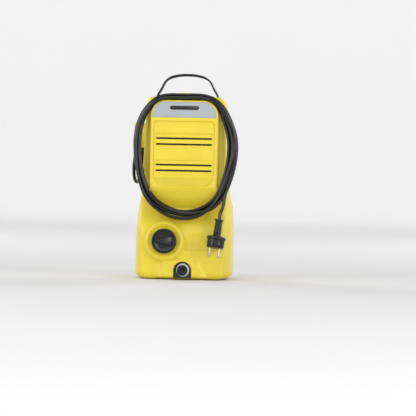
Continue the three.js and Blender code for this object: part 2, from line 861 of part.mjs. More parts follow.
const thrustRing = turned([
  [10, -thrustThickness / 2], [thrustRadius, -thrustThickness / 2],
  [thrustRadius, thrustThickness / 2], [10, thrustThickness / 2],
], 28);
place("thrust_bearing", tilted(thrustRing, swashLevel), steel);

const hubRadius = 12;
const stubRadius = 7.5;
const bearingFoot = gearTop + 2;
const bearingTop = bearingFoot + 9;

function swashPlate() {
  const disc = rodZ(pumpX, pumpY, swashRadius, swashLevel - 8, gearFoot - 1.5, 28);
  const hub = rodZ(pumpX, pumpY, hubRadius, gearFoot - 5, gearTop + 1, 20);
  const stub = rodZ(pumpX, pumpY, stubRadius, gearTop, bearingTop, 16);
  const below = new THREE.CylinderGeometry(60, 60, 60, 6);
  below.translate(0, -30, 0);
  const cut = tilted(below, swashLevel + thrustThickness / 2 + clearance);
  return disc.subtract(cut).add(hub).add(stub);
}
place("swash_plate", swashPlate(), steel);

// Straight teeth: four points a tooth, with side clearance so the pair turns freely.
function gearWheel(x, y, teeth, bore, from, to, startAngle) {
  const pitch = teeth * gearModule / 2;
  const outline = new THREE.Shape();
  const tip = pitch + 0.85 * gearModule;
  const root = pitch - 1.15 * gearModule;
  const step = 2 * Math.PI / teeth;
  const marks = [[-0.3, root], [-0.11, tip], [0.11, tip], [0.3, root]];
  for (let i = 0; i < teeth; i += 1) {
    for (const [share, radius] of marks) {
      const angle = startAngle + (i + share) * step;
      const [px, py] = [x + radius * Math.cos(angle), y + radius * Math.sin(angle)];
      if (i === 0 && share === marks[0][0]) {
        outline.moveTo(px, py);
      } else {
        outline.lineTo(px, py);
      }
    }
  }
  return raised(outline, from, to).subtract(rodZ(x, y, bore, from - 5, to + 5, 20));
}
// The gear has a tooth on the line of centres and the pinion has a gap there.
place("drive_gear", gearWheel(pumpX, pumpY, gearTeeth, hubRadius + clearance, gearFoot, gearTop,
  Math.PI), steel);
place("pinion", gearWheel(motorX, motorY, pinionTeeth, shaftRadius + clearance, gearFoot - 1,
  gearTop, Math.PI / pinionTeeth), steel);

const bearingRadius = 16;
place("swash_bearing", ringZ(pumpX, pumpY, stubRadius + clearance, bearingRadius, bearingFoot,
  bearingTop, 24), steel);

// A band round two circles, the pump's and the motor's, seen from above.
function ovalOutline(pumpSide, motorSide) {
  const shape = new THREE.Shape();
  const lean = Math.PI - Math.acos((pumpSide - motorSide) / (pumpX - motorX));
  shape.absarc(pumpX, pumpY, pumpSide, -lean, lean, false);
  shape.absarc(motorX, motorY, motorSide, lean, 2 * Math.PI - lean, false);
  return shape;
}

const motorBearingRadius = 11;
function gearCase() {
  const pumpSide = pumpRadius + 4;
  const motorSide = 26;
  const outer = ovalOutline(pumpSide, motorSide);
  const inner = ovalOutline(pumpSide - caseWall, motorSide - caseWall);
  let shell = raised(outer, pumpTop + 0.4, caseTop, 16);
  shell = shell.subtract(raised(inner, pumpTop - 5, gearTop + 1.6, 16));
  shell = shell.subtract(rodZ(pumpX, pumpY, bearingRadius + clearance, gearTop, bearingTop + 0.5, 24));
  shell = shell.subtract(rodZ(motorX, motorY, motorBearingRadius + clearance, caseTop - 8,
    caseTop + 5, 24));
  return shell.subtract(rodZ(motorX, motorY, 9, gearTop, caseTop, 16));
}

place("gear_case", gearCase(), aluminium);

// ---------------------------------------------------------------- motor

place("motor_shaft", rodZ(motorX, motorY, shaftRadius, gearFoot - 1, shaftTop, 16), steel);
const bearingInner = shaftRadius + clearance;
place("lower_bearing", ringZ(motorX, motorY, bearingInner, motorBearingRadius, caseTop - 7.6,
  caseTop, 20), steel);
place("upper_bearing", ringZ(motorX, motorY, bearingInner, motorBearingRadius, bridgeFoot,
  bridgeTop, 20), steel);

// Part of a ring between two angles, in degrees from +X.
function sector(inner, outer, fromDegrees, toDegrees, from, to) {
  const shape = new THREE.Shape();
  const start = THREE.MathUtils.degToRad(fromDegrees);
  const end = THREE.MathUtils.degToRad(toDegrees);
  shape.absarc(motorX, motorY, outer, start, end, false);
  shape.absarc(motorX, motorY, inner, end, start, true);
  return raised(shape, from, to, 7);
}

const windingInner = 27;
const windingOuter = 34;
const poleHalfAngle = 46;
const windingHalfAngle = 60;

function statorCore() {
  let core = ringZ(motorX, motorY, rotorRadius + 0.6, statorRadius, statorFoot, statorTop, 36);
  const slotStart = poleHalfAngle + 0.8;
  for (const middle of [90, 270]) {
    const spread = 90 - slotStart;
    core = core.subtract(sector(rotorRadius - 4, windingOuter + 0.5, middle - spread,
      middle + spread, statorFoot - 5, statorTop + 5));
  }
  return core;
}
place("stator_core", statorCore(), steel);

const windingLip = 10;
for (const [name, middle] of [["field_winding_right", 0], ["field_winding_left", 180]]) {
  const loop = sector(windingInner, windingOuter, middle - windingHalfAngle,
    middle + windingHalfAngle, statorFoot - windingLip, statorTop + windingLip);
  const window = sector(windingInner - 3, windingOuter + 3, middle - poleHalfAngle - 1.5,
    middle + poleHalfAngle + 1.5, statorFoot - 0.5, statorTop + 0.5);
  place(name, loop.subtract(window), copper);
}

function rotorCore() {
  let core = rodZ(motorX, motorY, rotorRadius, statorFoot, statorTop, 36);
  const slots = 12;
  for (let i = 0; i < slots; i += 1) {
    const slot = new THREE.BoxGeometry(9, 2.2, statorTop - statorFoot + 4);
    slot.translate(rotorRadius - 2, 0, (statorFoot + statorTop) / 2);
    slot.rotateZ(2 * Math.PI * i / slots);
    slot.translate(motorX, motorY, 0);
    core = core.subtract(solid(slot));
  }
  return core.subtract(rodZ(motorX, motorY, bearingInner, statorFoot - 5, statorTop + 5, 16));
}
place("rotor_core", rotorCore(), steel);

const commutatorRadius = 12;
const brushLevel = 223;
place("commutator", ringZ(motorX, motorY, bearingInner, commutatorRadius, brushLevel - 9,
  brushLevel + 9, 24), copper);

const brushHalf = 4;
for (const [name, side] of [["brush_left", -1], ["brush_right", 1]]) {
  const near = motorX + side * (commutatorRadius + 0.4);
  const far = motorX + side * (statorRadius - 2);
  place(name, box(Math.min(near, far), Math.max(near, far), motorY - 3, motorY + 3,
    brushLevel - brushHalf, brushLevel + brushHalf), carbon);
}

function motorBridge() {
  let bridge = ringZ(motorX, motorY, motorBearingRadius + clearance, statorRadius, bridgeFoot,
    bridgeTop, 36);
  for (const middle of [0, 180]) {
    bridge = bridge.add(sector(windingOuter + 1.5, statorRadius, middle - 24, middle + 24,
      statorTop + 0.4, bridgeFoot + 2));
  }
  const well = brushHalf + clearance;
  return bridge.subtract(box(motorX - statorRadius - 5, motorX + statorRadius + 5,
    motorY - 3 - clearance, motorY + 3 + clearance, brushLevel - well, brushLevel + well));
}
place("motor_bridge", motorBridge(), aluminium);

function coolingFan() {
  let fan = ringZ(motorX, motorY, bearingInner, fanRadius, fanFoot, fanFoot + 2, 20);
  fan = fan.add(ringZ(motorX, motorY, bearingInner, 9, fanFoot, fanFoot + 12, 12));
  const blades = 8;
  for (let i = 0; i < blades; i += 1) {
    const blade = new THREE.BoxGeometry(fanRadius - 12, 1.8, 10);
    blade.translate((fanRadius + 10) / 2, 0, fanFoot + 6.5);
    blade.rotateZ(2 * Math.PI * i / blades);
    blade.translate(motorX, motorY, 0);
    fan = fan.add(solid(blade));
  }
  return fan;
}
place("cooling_fan", coolingFan(), blackPlastic);

// ---------------------------------------------------------------- water inlet

place("water_inlet", turnedY(inletX, inletZ, [
  [5.6, headBack - 3], [8, headBack - 3], [8, headBack + 3], [12, headBack + 3],
  [12, headBack + 6], [11, headBack + 6], [11, baseBack + 1.5], [13.2, baseBack + 1.5],
  [13.2, inletEnd - 8], [8.4, inletEnd - 8], [8.4, inletEnd - 5], [7.4, inletEnd - 4],
  [7.4, inletEnd], [5.6, inletEnd],
], 18), blackPlastic);
place("inlet_filter", turnedY(inletX, inletZ, [
  [0, inletEnd - 24], [4, inletEnd - 24], [5.1, inletEnd - 2], [4.1, inletEnd - 2],
  [3, inletEnd - 22.6], [0, inletEnd - 22.6],
], 20), whitePlastic);

// ---------------------------------------------------------------- electrics

place("interference_capacitor", rodZ(62, -8, 10, 176, 212, 20), whitePlastic);

// ---------------------------------------------------------------- mains lead

// Where the middle of the wound lead runs, round the block and down over the slope.
const coilLine = [
  [0, 367.5], [38, 363], [63, 347], [80, 322], [94.5, 285], [96.5, 258], [86, 198],
  [64.5, 156], [36, 137], [2, 131.5], [-32, 140], [-62, 160], [-86.5, 210],
  [-95, 258], [-88, 313], [-70, 341], [-44, 363],
];
const coilTopY = -58.5;
const coilFootY = -73.5;
const coilTurnsWidth = 8;         // half the bundle's width at the sides
const coilFootWidth = 11;         // and at the foot, where one strand sags
const coilTopWidth = 6;
const coilDepth = 9.5;            // half the bundle's depth
const coilSteps = 36;

function coilY(z) {
  return lerp(coilFootY, coilTopY, clamp((z - 133) / (367 - 133), 0, 1));
}

function coilWidth(z) {
  if (z > 258) {
    return lerp(coilTurnsWidth, coilTopWidth, clamp((z - 258) / 105, 0, 1));
  }
  return lerp(coilFootWidth, coilTurnsWidth, clamp((z - 133) / 100, 0, 1));
}

function cordCoil() {
  const line = coilLine.map(([x, z]) => new THREE.Vector3(x, 0, z));
  const curve = new THREE.CatmullRomCurve3(line, true);
  const geometry = new THREE.TorusGeometry(10, 1, 8, coilSteps);
  const position = geometry.attributes.position;
  for (let i = 0; i < position.count; i += 1) {
    const [x, y, z] = [position.getX(i), position.getY(i), position.getZ(i)];
    const turn = Math.atan2(y, x) / (2 * Math.PI);
    const outward = Math.hypot(x, y) - 10;
    const share = (Math.round((turn + 1) * coilSteps) % coilSteps) / coilSteps;
    const at = curve.getPoint(share);
    const along = curve.getTangent(share);
    const width = coilWidth(at.z) * outward;
    position.setXYZ(i, at.x + along.z * -width, coilY(at.z) + z * coilDepth,
      at.z + along.x * width);
  }
  const room = pushed(blockOutline(-0.5, blockFoot), blockFront - 0.5, topFront + 5);
  return solid(geometry).subtract(room.subtract(footChamfer(-1)));
}

place("cord_coil", cordCoil(), cordJacket);

// Strain relief: a plug through the side wall and a ribbed sleeve that points down.
function cordGland() {
  const stub = rodX(glandY, glandTop - 6, 6, glandX, -topHalfWidth + wall - 4, 16);
  const sleeve = turned([
    [0, glandEnd], [4.4, glandEnd], [6.6, glandTop - 12], [7, glandTop - 4],
    [5.5, glandTop], [0, glandTop],
  ], 16);
  sleeve.rotateX(Math.PI / 2);
  sleeve.translate(glandX, glandY, 0);
  return stub.add(solid(sleeve));
}
place("cord_gland", cordGland(), blackRubber);

// The lead drops from the strain relief, turns forward and climbs behind the wound lead.
const leadLine = [
  [glandX, glandY, glandEnd - clearance],
  [-91.4, -5, 217],
  [-92.8, -10, 203],
  [-95, -21, 194.5],
  [-97.4, -33, 194],
  [-99.6, -42.5, 202],
  [-100.8, -46.5, 216],
  [-100.4, -47.8, 230],
  [-99.2, -49, 243],
  [-98, -51.5, 256],
];
place("cord_lead", tube(leadLine, cordDiameter / 2, 16), cordJacket);

// Plug, hung from the lead's end in front of the base.
const plug = new THREE.Group();
const plugTop = new THREE.Vector3(74.5, -80, 122.4);
plug.position.copy(plugTop);
plug.rotation.set(plugPitch, plugLean, 0);
washer.add(plug);

const sleeveEnd = -34;
const plugFace = -58;

function plugBody() {
  const sleeve = turned([
    [0, sleeveEnd - 2], [7.5, sleeveEnd - 2], [7.5, -3], [9, -3], [9, 0], [0, 0],
  ], 16);
  sleeve.rotateX(Math.PI / 2);
  const body = turned([
    [0, plugFace], [plugBodyRadius, plugFace], [plugBodyRadius, sleeveEnd - 6],
    [plugBodyRadius - 4, sleeveEnd], [0, sleeveEnd],
  ], 28);
  body.rotateX(Math.PI / 2);
  let piece = solid(sleeve).add(solid(body));
  for (const side of [-1, 1]) {
    const notchY = side * plugBodyRadius;
    piece = piece.subtract(box(-4.5, 4.5, notchY - 4.5, notchY + 4.5, plugFace - 5, sleeveEnd + 9));
    piece = piece.subtract(rodZ(side * pinSpacing / 2, 0, pinRadius + clearance, plugFace - 5,
      plugFace + 8, 12));
  }
  return piece;
}
place("mains_plug", plugBody(), blackPlastic, plug);
place("plug_pin_left", rodZ(-pinSpacing / 2, 0, pinRadius, plugFace - 18, plugFace + 7, 12), steel,
  plug);
place("plug_pin_right", rodZ(pinSpacing / 2, 0, pinRadius, plugFace - 18, plugFace + 7, 12), steel,
  plug);

// The end of the lead hangs from the wound lead and runs straight into the plug.
const plugAxis = new THREE.Vector3(0, 0, 1).applyEuler(plug.rotation);
const tailEnd = plugTop.clone().addScaledVector(plugAxis, clearance);
const tailAbove = plugTop.clone().addScaledVector(plugAxis, 8);
const tailLine = [
  [83, -74, 160],
  [81, -76, 148],
  [78, -77.5, 138],
  tailAbove.toArray(),
  tailEnd.toArray(),
];
place("cord_tail", tube(tailLine, cordDiameter / 2, 5), cordJacket);

// Inside, the lead goes on from the strain relief to the switch.
const switchLeadLine = [
  [-topHalfWidth + wall + 2, glandY, glandTop - 6],
  [-72, glandY - 2, 240],
  [-74, -14, 200],
  [-72, -24, 150],
  [-68, -34, 100],
  [-62, -46, 58],
  [knobX - 20, -50, switchFoot + 9],
  [knobX - 13.5, -50, switchFoot + 9],
];
place("switch_lead", tube(switchLeadLine, 3, 16, 6), cordJacket);

// ---------------------------------------------------------------- whole machine

// The gun holder makes the machine reach further on its left, so its middle lies left of centre.
const leftReach = topHalfWidth + 2 + holderReach;
washer.position.set((leftReach - baseHalfWidth) / 2, 0, 0);

const machine = new THREE.Group();
machine.add(washer);

export default machine;
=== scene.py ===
"""Looks of a compact mains pressure washer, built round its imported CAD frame.

Each visible piece is modelled in the frame's own metres and rides on its CAD body.
Helpers take millimetres measured from the housing's centre line: x to the right,
y to the back, z up.
"""

import math

import bpy
import numpy as np
from mathutils import Euler, Matrix, Vector


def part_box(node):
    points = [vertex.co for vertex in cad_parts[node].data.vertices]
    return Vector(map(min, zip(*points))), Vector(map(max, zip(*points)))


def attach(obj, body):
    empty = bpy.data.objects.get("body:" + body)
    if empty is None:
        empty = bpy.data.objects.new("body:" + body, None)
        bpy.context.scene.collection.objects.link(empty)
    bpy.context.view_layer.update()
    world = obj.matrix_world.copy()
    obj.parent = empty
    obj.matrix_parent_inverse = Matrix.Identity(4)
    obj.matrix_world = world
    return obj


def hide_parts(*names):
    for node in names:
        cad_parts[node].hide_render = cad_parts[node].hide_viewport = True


bl_info = {
    "name": "Pressure Washer",
    "version": (1, 0, 0),
    "blender": (4, 5, 0),
    "location": "View3D > Sidebar > Washer",
    "description": "Builds a compact pressure washer round its CAD frame",
    "category": "Object",
}

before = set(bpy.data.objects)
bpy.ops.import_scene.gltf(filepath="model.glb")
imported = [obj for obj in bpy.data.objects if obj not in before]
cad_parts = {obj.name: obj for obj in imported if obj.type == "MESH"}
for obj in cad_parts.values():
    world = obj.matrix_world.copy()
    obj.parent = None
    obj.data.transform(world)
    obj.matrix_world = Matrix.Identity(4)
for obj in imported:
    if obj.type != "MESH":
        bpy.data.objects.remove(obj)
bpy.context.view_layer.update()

MM = 0.001
MERGE_GAP = 1e-6
BACKDROP_GLOW = 0.43
SKY_GLOW = 0.36
PLATE_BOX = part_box("label_plate")
CENTRE_X = (PLATE_BOX[0].x + PLATE_BOX[1].x) / 2
BLOCK_FRONT = -70.0
ORIGIN = Vector((CENTRE_X, 0, 0))


# ---------------------------------------------------------------- settings

class WasherSizes(bpy.types.PropertyGroup):
    """Sizes that change the washer's looks."""

    cord_diameter: bpy.props.FloatProperty(
        name="Lead Diameter", description="Thickness of the mains lead",
        default=0.0065, min=0.004, max=0.009, unit="LENGTH")
    cord_turns: bpy.props.IntProperty(
        name="Lead Turns", description="Full turns of the lead round the block",
        default=6, min=3, max=7)
    front_step: bpy.props.FloatProperty(
        name="Shell Grid", description="Spacing of the front shell's mesh",
        default=0.0017, min=0.001, max=0.006, unit="LENGTH")
    strap_ribs: bpy.props.IntProperty(
        name="Strap Ribs", description="Cross ribs moulded on each end of the strap",
        default=5, min=0, max=9)
    sleeve_ribs: bpy.props.IntProperty(
        name="Plug Ribs", description="Ribs on the plug's bend sleeve",
        default=6, min=2, max=9)


def colour_property(name, description, colour):
    return bpy.props.FloatVectorProperty(
        name=name, description=description, subtype="COLOR", size=3, min=0, max=1,
        default=colour)


class WasherColours(bpy.types.PropertyGroup):
    """Base colours of the finishes."""

    shell: colour_property("Shell", "Moulded yellow of the housing", (0.755, 0.60, 0.037))
    shell_deep: colour_property("Shell Shade", "Deeper yellow of its mottling",
                                (0.71, 0.55, 0.032))
    plate: colour_property("Plate", "Grey of the badge plate", (0.37, 0.41, 0.44))
    black: colour_property("Black Plastic", "Knob, outlet and plug", (0.005, 0.005, 0.0055))
    rubber: colour_property("Rubber", "Strap, feet and strain relief", (0.008, 0.008, 0.0085))
    jacket: colour_property("Lead Jacket", "Glossy jacket of the lead", (0.003, 0.003, 0.0034))
    floor: colour_property("Floor", "Pale studio floor", (0.75, 0.75, 0.755))


# ---------------------------------------------------------------- modelling helpers

def at(x, y, z):
    """A point given in millimetres from the housing's centre line, in the frame's metres."""
    return ORIGIN + Vector((x, y, z)) * MM


def start_fresh():
    """Leaves edit mode and deselects everything."""
    if bpy.context.object and bpy.context.object.mode != "OBJECT":
        bpy.ops.object.mode_set(mode="OBJECT")
    bpy.ops.object.select_all(action="DESELECT")


def select_only(piece):
    start_fresh()
    piece.select_set(True)
    bpy.context.view_layer.objects.active = piece


def edit_all(piece):
    select_only(piece)
    bpy.ops.object.mode_set(mode="EDIT")
    bpy.ops.mesh.select_all(action="SELECT")


def close_edit():
    bpy.ops.object.mode_set(mode="OBJECT")


def apply_all(piece):
    """Applies every modifier in order."""
    select_only(piece)
    for modifier in list(piece.modifiers):
        bpy.ops.object.modifier_apply(modifier=modifier.name)


def tidy(piece):
    """Merges doubles and turns every face outwards."""
    edit_all(piece)
    bpy.ops.mesh.remove_doubles(threshold=MERGE_GAP)
    bpy.ops.mesh.normals_make_consistent(inside=False)
    close_edit()
    return piece


def smooth(piece, degrees=32):
    select_only(piece)
    bpy.ops.object.shade_smooth_by_angle(angle=math.radians(degrees))
    return piece


def settle(piece):
    """Puts the object's place and turn into its mesh."""
    select_only(piece)
    bpy.ops.object.transform_apply(location=True, rotation=True, scale=True)
    return piece


def spun(name, profile, centre, along=(0, 1, 0), steps=48):
    """A turned piece: a closed profile of (radius, height along) in mm, spun round the axis."""
    axis = Vector(along)
    side = axis.orthogonal().normalized()
    start_fresh()
    bpy.ops.mesh.primitive_circle_add(vertices=len(profile), radius=1)
    piece = bpy.context.object
    piece.name = piece.data.name = name
    for vertex, (radius, height) in zip(piece.data.vertices, profile):
        vertex.co = centre + side * radius * MM + axis * height * MM
    edit_all(piece)
    bpy.ops.mesh.spin(steps=steps, angle=2 * math.pi, center=centre, axis=axis)
    close_edit()
    return tidy(piece)


def extruded(name, outline, start, end, lay="front"):
    """An outline in mm pushed from one level to another: lay front is (x, z) along y,
    lay plan is (x, y) along z."""
    start_fresh()
    bpy.ops.mesh.primitive_circle_add(vertices=len(outline), radius=1)
    piece = bpy.context.object
    piece.name = piece.data.name = name
    for vertex, (across, up) in zip(piece.data.vertices, outline):
        vertex.co = at(across, start, up) if lay == "front" else at(across, up, start)
    push = (end - start) * MM
    shift = (0, push, 0) if lay == "front" else (0, 0, push)
    edit_all(piece)
    bpy.ops.mesh.edge_face_add()
    bpy.ops.mesh.extrude_region_move(TRANSFORM_OT_translate={"value": shift})
    close_edit()
    return tidy(piece)


def block_box(name, low, high, radius=0.0, segments=3):
    """A box between two corners in mm, with all its edges rounded."""
    start_fresh()
    a, b = at(*low), at(*high)
    bpy.ops.mesh.primitive_cube_add(size=1, location=(a + b) / 2)
    piece = bpy.context.object
    piece.name = piece.data.name = name
    piece.scale = [abs(q - p) for p, q in zip(a, b)]
    settle(piece)
    if radius:
        edit_all(piece)
        bpy.ops.mesh.bevel(offset=radius * MM, segments=segments, affect="EDGES")
        close_edit()
    return piece


def soften(piece, radius, segments=3, angle=35):
    """Rounds the edges that are sharper than an angle."""
    bevel = piece.modifiers.new("edges", "BEVEL")
    bevel.width = radius * MM
    bevel.segments = segments
    bevel.limit_method = "ANGLE"
    bevel.angle_limit = math.radians(angle)
    apply_all(piece)
    return piece


def joined(name, pieces):
    """Several meshes as one object."""
    start_fresh()
    for piece in pieces:
        piece.select_set(True)
    bpy.context.view_layer.objects.active = pieces[0]
    if len(pieces) > 1:
        bpy.ops.object.join()
    pieces[0].name = pieces[0].data.name = name
    return pieces[0]


def combine(piece, tool, operation):
    """Cuts or adds one closed mesh with another, which is then removed."""
    modifier = piece.modifiers.new("combine", "BOOLEAN")
    modifier.operation = operation
    modifier.solver = "MANIFOLD"
    modifier.object = tool
    apply_all(piece)
    bpy.data.objects.remove(tool)
    if not piece.data.polygons:
        raise RuntimeError(f"{piece.name} has nothing left after {operation}")
    return piece


def facing(outline, y):
    """An outline of (x, z) as a ring at a depth."""
    return [(x, y, z) for x, z in outline]


def grid_loft(name, rings):
    """A skin through rings of equal point count, given in mm, with its ends filled."""
    rings = np.asarray(rings, float)
    levels, count = rings.shape[:2]
    mesh = bpy.data.meshes.new(name)
    points = rings.reshape(-1, 3) * MM + np.array(ORIGIN)
    faces = []
    for level in range(levels - 1):
        for i in range(count):
            a = level * count + i
            b = level * count + (i + 1) % count
            faces.append((a, b, b + count, a + count))
    faces.append(tuple(range(count))[::-1])
    faces.append(tuple(range((levels - 1) * count, levels * count)))
    mesh.from_pydata(points.tolist(), [], faces)
    piece = bpy.data.objects.new(name, mesh)
    bpy.context.scene.collection.objects.link(piece)
    return tidy(piece)


def hand_over(piece, angle, material, slot, *nodes, body="housing"):
    """Smooths a finished piece below an angle, gives it its material, hides the CAD nodes it
    stands for and hangs it on the body it rides on. Its slot is not used."""
    smooth(piece, angle)
    piece.data.materials.clear()
    piece.data.materials.append(material)
    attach(piece, body)
    if nodes:
        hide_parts(*nodes)
    return piece


def arc(centre, radius, start, end, steps):
    """Points on an arc, angles in degrees."""
    turns = np.radians(np.linspace(start, end, steps + 1))
    return [(centre[0] + radius * math.cos(t), centre[1] + radius * math.sin(t)) for t in turns]


def ease(value, low, high):
    """Smooth step from 0 at low to 1 at high."""
    share = np.clip((value - low) / (high - low), 0, 1)
    return share * share * (3 - 2 * share)


def blend_over(a, b, width):
    """The larger of two heights, with a fillet of that width where they cross."""
    near = np.maximum(width - np.abs(a - b), 0) / width
    return np.maximum(a, b) + near * near * width / 4


def blend_under(a, b, width):
    return -blend_over(-a, -b, width)


def spline(points, step):
    """A smooth open curve through points, resampled at about a step."""
    points = np.asarray(points, float)
    gaps = np.linalg.norm(np.diff(points, axis=0), axis=1)
    where = np.concatenate([[0], np.cumsum(gaps)])
    count = len(points)
    system = np.zeros((count, count))
    right = np.zeros((count, 3))
    system[0, 0] = system[-1, -1] = 1
    for i in range(1, count - 1):
        before, after = gaps[i - 1], gaps[i]
        system[i, i - 1:i + 2] = before, 2 * (before + after), after
        right[i] = 6 * ((points[i + 1] - points[i]) / after
                        - (points[i] - points[i - 1]) / before)
    bends = np.linalg.solve(system, right)
    fine = np.linspace(0, where[-1], int(math.ceil(where[-1] / step)) + 1)
    span = np.clip(np.searchsorted(where, fine, side="right") - 1, 0, count - 2)
    gap = gaps[span][:, None]
    ahead = (where[span + 1] - fine)[:, None] / gap
    behind = 1 - ahead
    return (ahead * points[span] + behind * points[span + 1]
            + ((ahead ** 3 - ahead) * bends[span] + (behind ** 3 - behind) * bends[span + 1])
            * gap ** 2 / 6)


# ---------------------------------------------------------------- node groups

def new_group(name, inputs, outputs):
    """A shader node group with named sockets; inputs carry their defaults."""
    tree = bpy.data.node_groups.new(name, "ShaderNodeTree")
    for label, kind, value in inputs:
        socket = tree.interface.new_socket(label, in_out="INPUT", socket_type=kind)
        socket.default_value = value
    for label, kind in outputs:
        tree.interface.new_socket(label, in_out="OUTPUT", socket_type=kind)
    tree.nodes.new("NodeGroupInput").name = "in"
    tree.nodes.new("NodeGroupOutput").name = "out"
    return tree


def put_out(tree, label, value):
    """Links a value to one of a group's outputs."""
    tree.links.new(value, tree.nodes["out"].inputs[label])


def add_node(tree, kind, values=(), **settings):
    node = tree.nodes.new(kind)
    for key, value in settings.items():
        setattr(node, key, value)
    for key, value in dict(values).items():
        node.inputs[key].default_value = value
    return node


def noise(tree, vector, scale, detail=2.0, roughness=0.5):
    """A noise texture; its scale is a number or a socket."""
    node = add_node(tree, "ShaderNodeTexNoise", {"Detail": detail, "Roughness": roughness})
    tree.links.new(vector, node.inputs["Vector"])
    if isinstance(scale, (int, float)):
        node.inputs["Scale"].default_value = scale
    else:
        tree.links.new(scale, node.inputs["Scale"])
    return node


def maths(tree, operation, first, second, clamp=False):
    node = add_node(tree, "ShaderNodeMath", operation=operation, use_clamp=clamp)
    for socket, value in zip(node.inputs, (first, second)):
        if isinstance(value, (int, float)):
            socket.default_value = value
        else:
            tree.links.new(value, socket)
    return node.outputs[0]


def ranged(tree, value, from_min, from_max, to_min, to_max):
    node = add_node(tree, "ShaderNodeMapRange", {
        "From Min": from_min, "From Max": from_max, "To Min": to_min, "To Max": to_max})
    tree.links.new(value, node.inputs["Value"])
    return node.outputs["Result"]


def mixed(tree, share, first, second):
    """Two colours mixed by a share; each may be a socket or a colour."""
    node = add_node(tree, "ShaderNodeMix", data_type="RGBA")
    for socket, value in zip((node.inputs[0], node.inputs[6], node.inputs[7]),
                             (share, first, second)):
        if isinstance(value, bpy.types.NodeSocket):
            tree.links.new(value, socket)
        elif isinstance(value, (int, float)):
            socket.default_value = value
        else:
            socket.default_value = (*value[:3], 1)
    return node.outputs[2]


def object_place(tree):
    return add_node(tree, "ShaderNodeTexCoord").outputs["Object"]


def moulded_grain():
    """Fine spark-eroded grain with a slow orange-peel under it."""
    tree = new_group("moulded_grain", [
        ("Scale", "NodeSocketFloat", 1500.0), ("Peel", "NodeSocketFloat", 0.4)],
        [("Height", "NodeSocketFloat")])
    place = object_place(tree)
    given = tree.nodes["in"].outputs
    fine = noise(tree, place, given["Scale"], 3.0, 0.6).outputs["Fac"]
    peel = noise(tree, place, 110.0, 2.0).outputs["Fac"]
    height = maths(tree, "ADD", fine, maths(tree, "MULTIPLY", peel, given["Peel"]))
    put_out(tree, "Height", height)
    return tree


def mottled_tone():
    """Two close tones in slow clouds and small specks."""
    tree = new_group("mottled_tone", [
        ("Tone", "NodeSocketColor", (0.5, 0.5, 0.5, 1)),
        ("Deep Tone", "NodeSocketColor", (0.4, 0.4, 0.4, 1)),
        ("Scale", "NodeSocketFloat", 18.0)],
        [("Colour", "NodeSocketColor")])
    place = object_place(tree)
    given = tree.nodes["in"].outputs
    clouds = noise(tree, place, given["Scale"], 4.0, 0.55).outputs["Fac"]
    specks = noise(tree, place, 900.0, 2.0, 0.7).outputs["Fac"]
    share = ranged(tree, maths(tree, "ADD", clouds, maths(tree, "MULTIPLY", specks, 0.35)),
                   0.5, 0.86, 0.0, 1.0)
    colour = mixed(tree, share, given["Tone"], given["Deep Tone"])
    put_out(tree, "Colour", colour)
    return tree


def rub_marks():
    """Faint scuffs in two directions, as a roughness between two values."""
    tree = new_group("rub_marks", [
        ("Low", "NodeSocketFloat", 0.3), ("High", "NodeSocketFloat", 0.45)],
        [("Roughness", "NodeSocketFloat")])
    given = tree.nodes["in"].outputs
    place = object_place(tree)
    marks = []
    for turn, stretch in ((0.35, (22, 240, 30)), (-0.8, (200, 30, 18))):
        mapping = add_node(tree, "ShaderNodeMapping", {
            "Rotation": (turn, turn * 0.6, turn), "Scale": stretch})
        tree.links.new(place, mapping.inputs["Vector"])
        marks.append(noise(tree, mapping.outputs["Vector"], 1.0, 3.0, 0.6).outputs["Fac"])
    both = maths(tree, "MULTIPLY", marks[0], marks[1])
    slow = noise(tree, place, 26.0, 2.0).outputs["Fac"]
    share = ranged(tree, maths(tree, "ADD", both, maths(tree, "MULTIPLY", slow, 0.3)),
                   0.28, 0.58, 0.0, 1.0)
    span = maths(tree, "SUBTRACT", given["High"], given["Low"])
    result = maths(tree, "ADD", given["Low"], maths(tree, "MULTIPLY", share, span))
    put_out(tree, "Roughness", result)
    return tree


def rub_sheen_and_dirt_shade():
    """Lighter proud edges: rubbing and painted highlight; darker creases: dirt and painted shade.
    """
    tree = new_group("rub_sheen_and_dirt_shade", [
        ("Colour", "NodeSocketColor", (0.5, 0.5, 0.5, 1)),
        ("Edge Tone", "NodeSocketColor", (0.6, 0.6, 0.6, 1)),
        ("Crease Tone", "NodeSocketColor", (0.3, 0.3, 0.3, 1))],
        [("Colour", "NodeSocketColor")])
    given = tree.nodes["in"].outputs
    # Pointiness paints a highlight, with rubbing, on proud edges and shade, with dirt, in creases.
    point = add_node(tree, "ShaderNodeNewGeometry").outputs["Pointiness"]
    patch = noise(tree, object_place(tree), 70.0, 3.0).outputs["Fac"]
    edges = maths(tree, "MULTIPLY", ranged(tree, point, 0.52, 0.60, 0.0, 1.0),
                  ranged(tree, patch, 0.35, 0.6, 0.4, 1.0), clamp=True)
    creases = ranged(tree, point, 0.485, 0.44, 0.0, 0.8)
    colour = mixed(tree, edges, given["Colour"], given["Edge Tone"])
    colour = mixed(tree, creases, colour, given["Crease Tone"])
    put_out(tree, "Colour", colour)
    return tree


def tool_lines():
    """Fine lines left by a cutting tool, as a height and a roughness."""
    tree = new_group("tool_lines", [
        ("Pitch", "NodeSocketFloat", 900.0),
        ("Low", "NodeSocketFloat", 0.22), ("High", "NodeSocketFloat", 0.4)],
        [("Height", "NodeSocketFloat"), ("Roughness", "NodeSocketFloat")])
    given = tree.nodes["in"].outputs
    place = object_place(tree)
    wave = add_node(tree, "ShaderNodeTexWave", {"Distortion": 1.5, "Detail": 2.0},
                    bands_direction="Z")
    tree.links.new(place, wave.inputs["Vector"])
    tree.links.new(given["Pitch"], wave.inputs["Scale"])
    slow = noise(tree, place, 160.0, 3.0).outputs["Fac"]
    span = maths(tree, "SUBTRACT", given["High"], given["Low"])
    rough = maths(tree, "ADD", given["Low"], maths(tree, "MULTIPLY", slow, span))
    put_out(tree, "Height", wave.outputs["Fac"])
    put_out(tree, "Roughness", rough)
    return tree


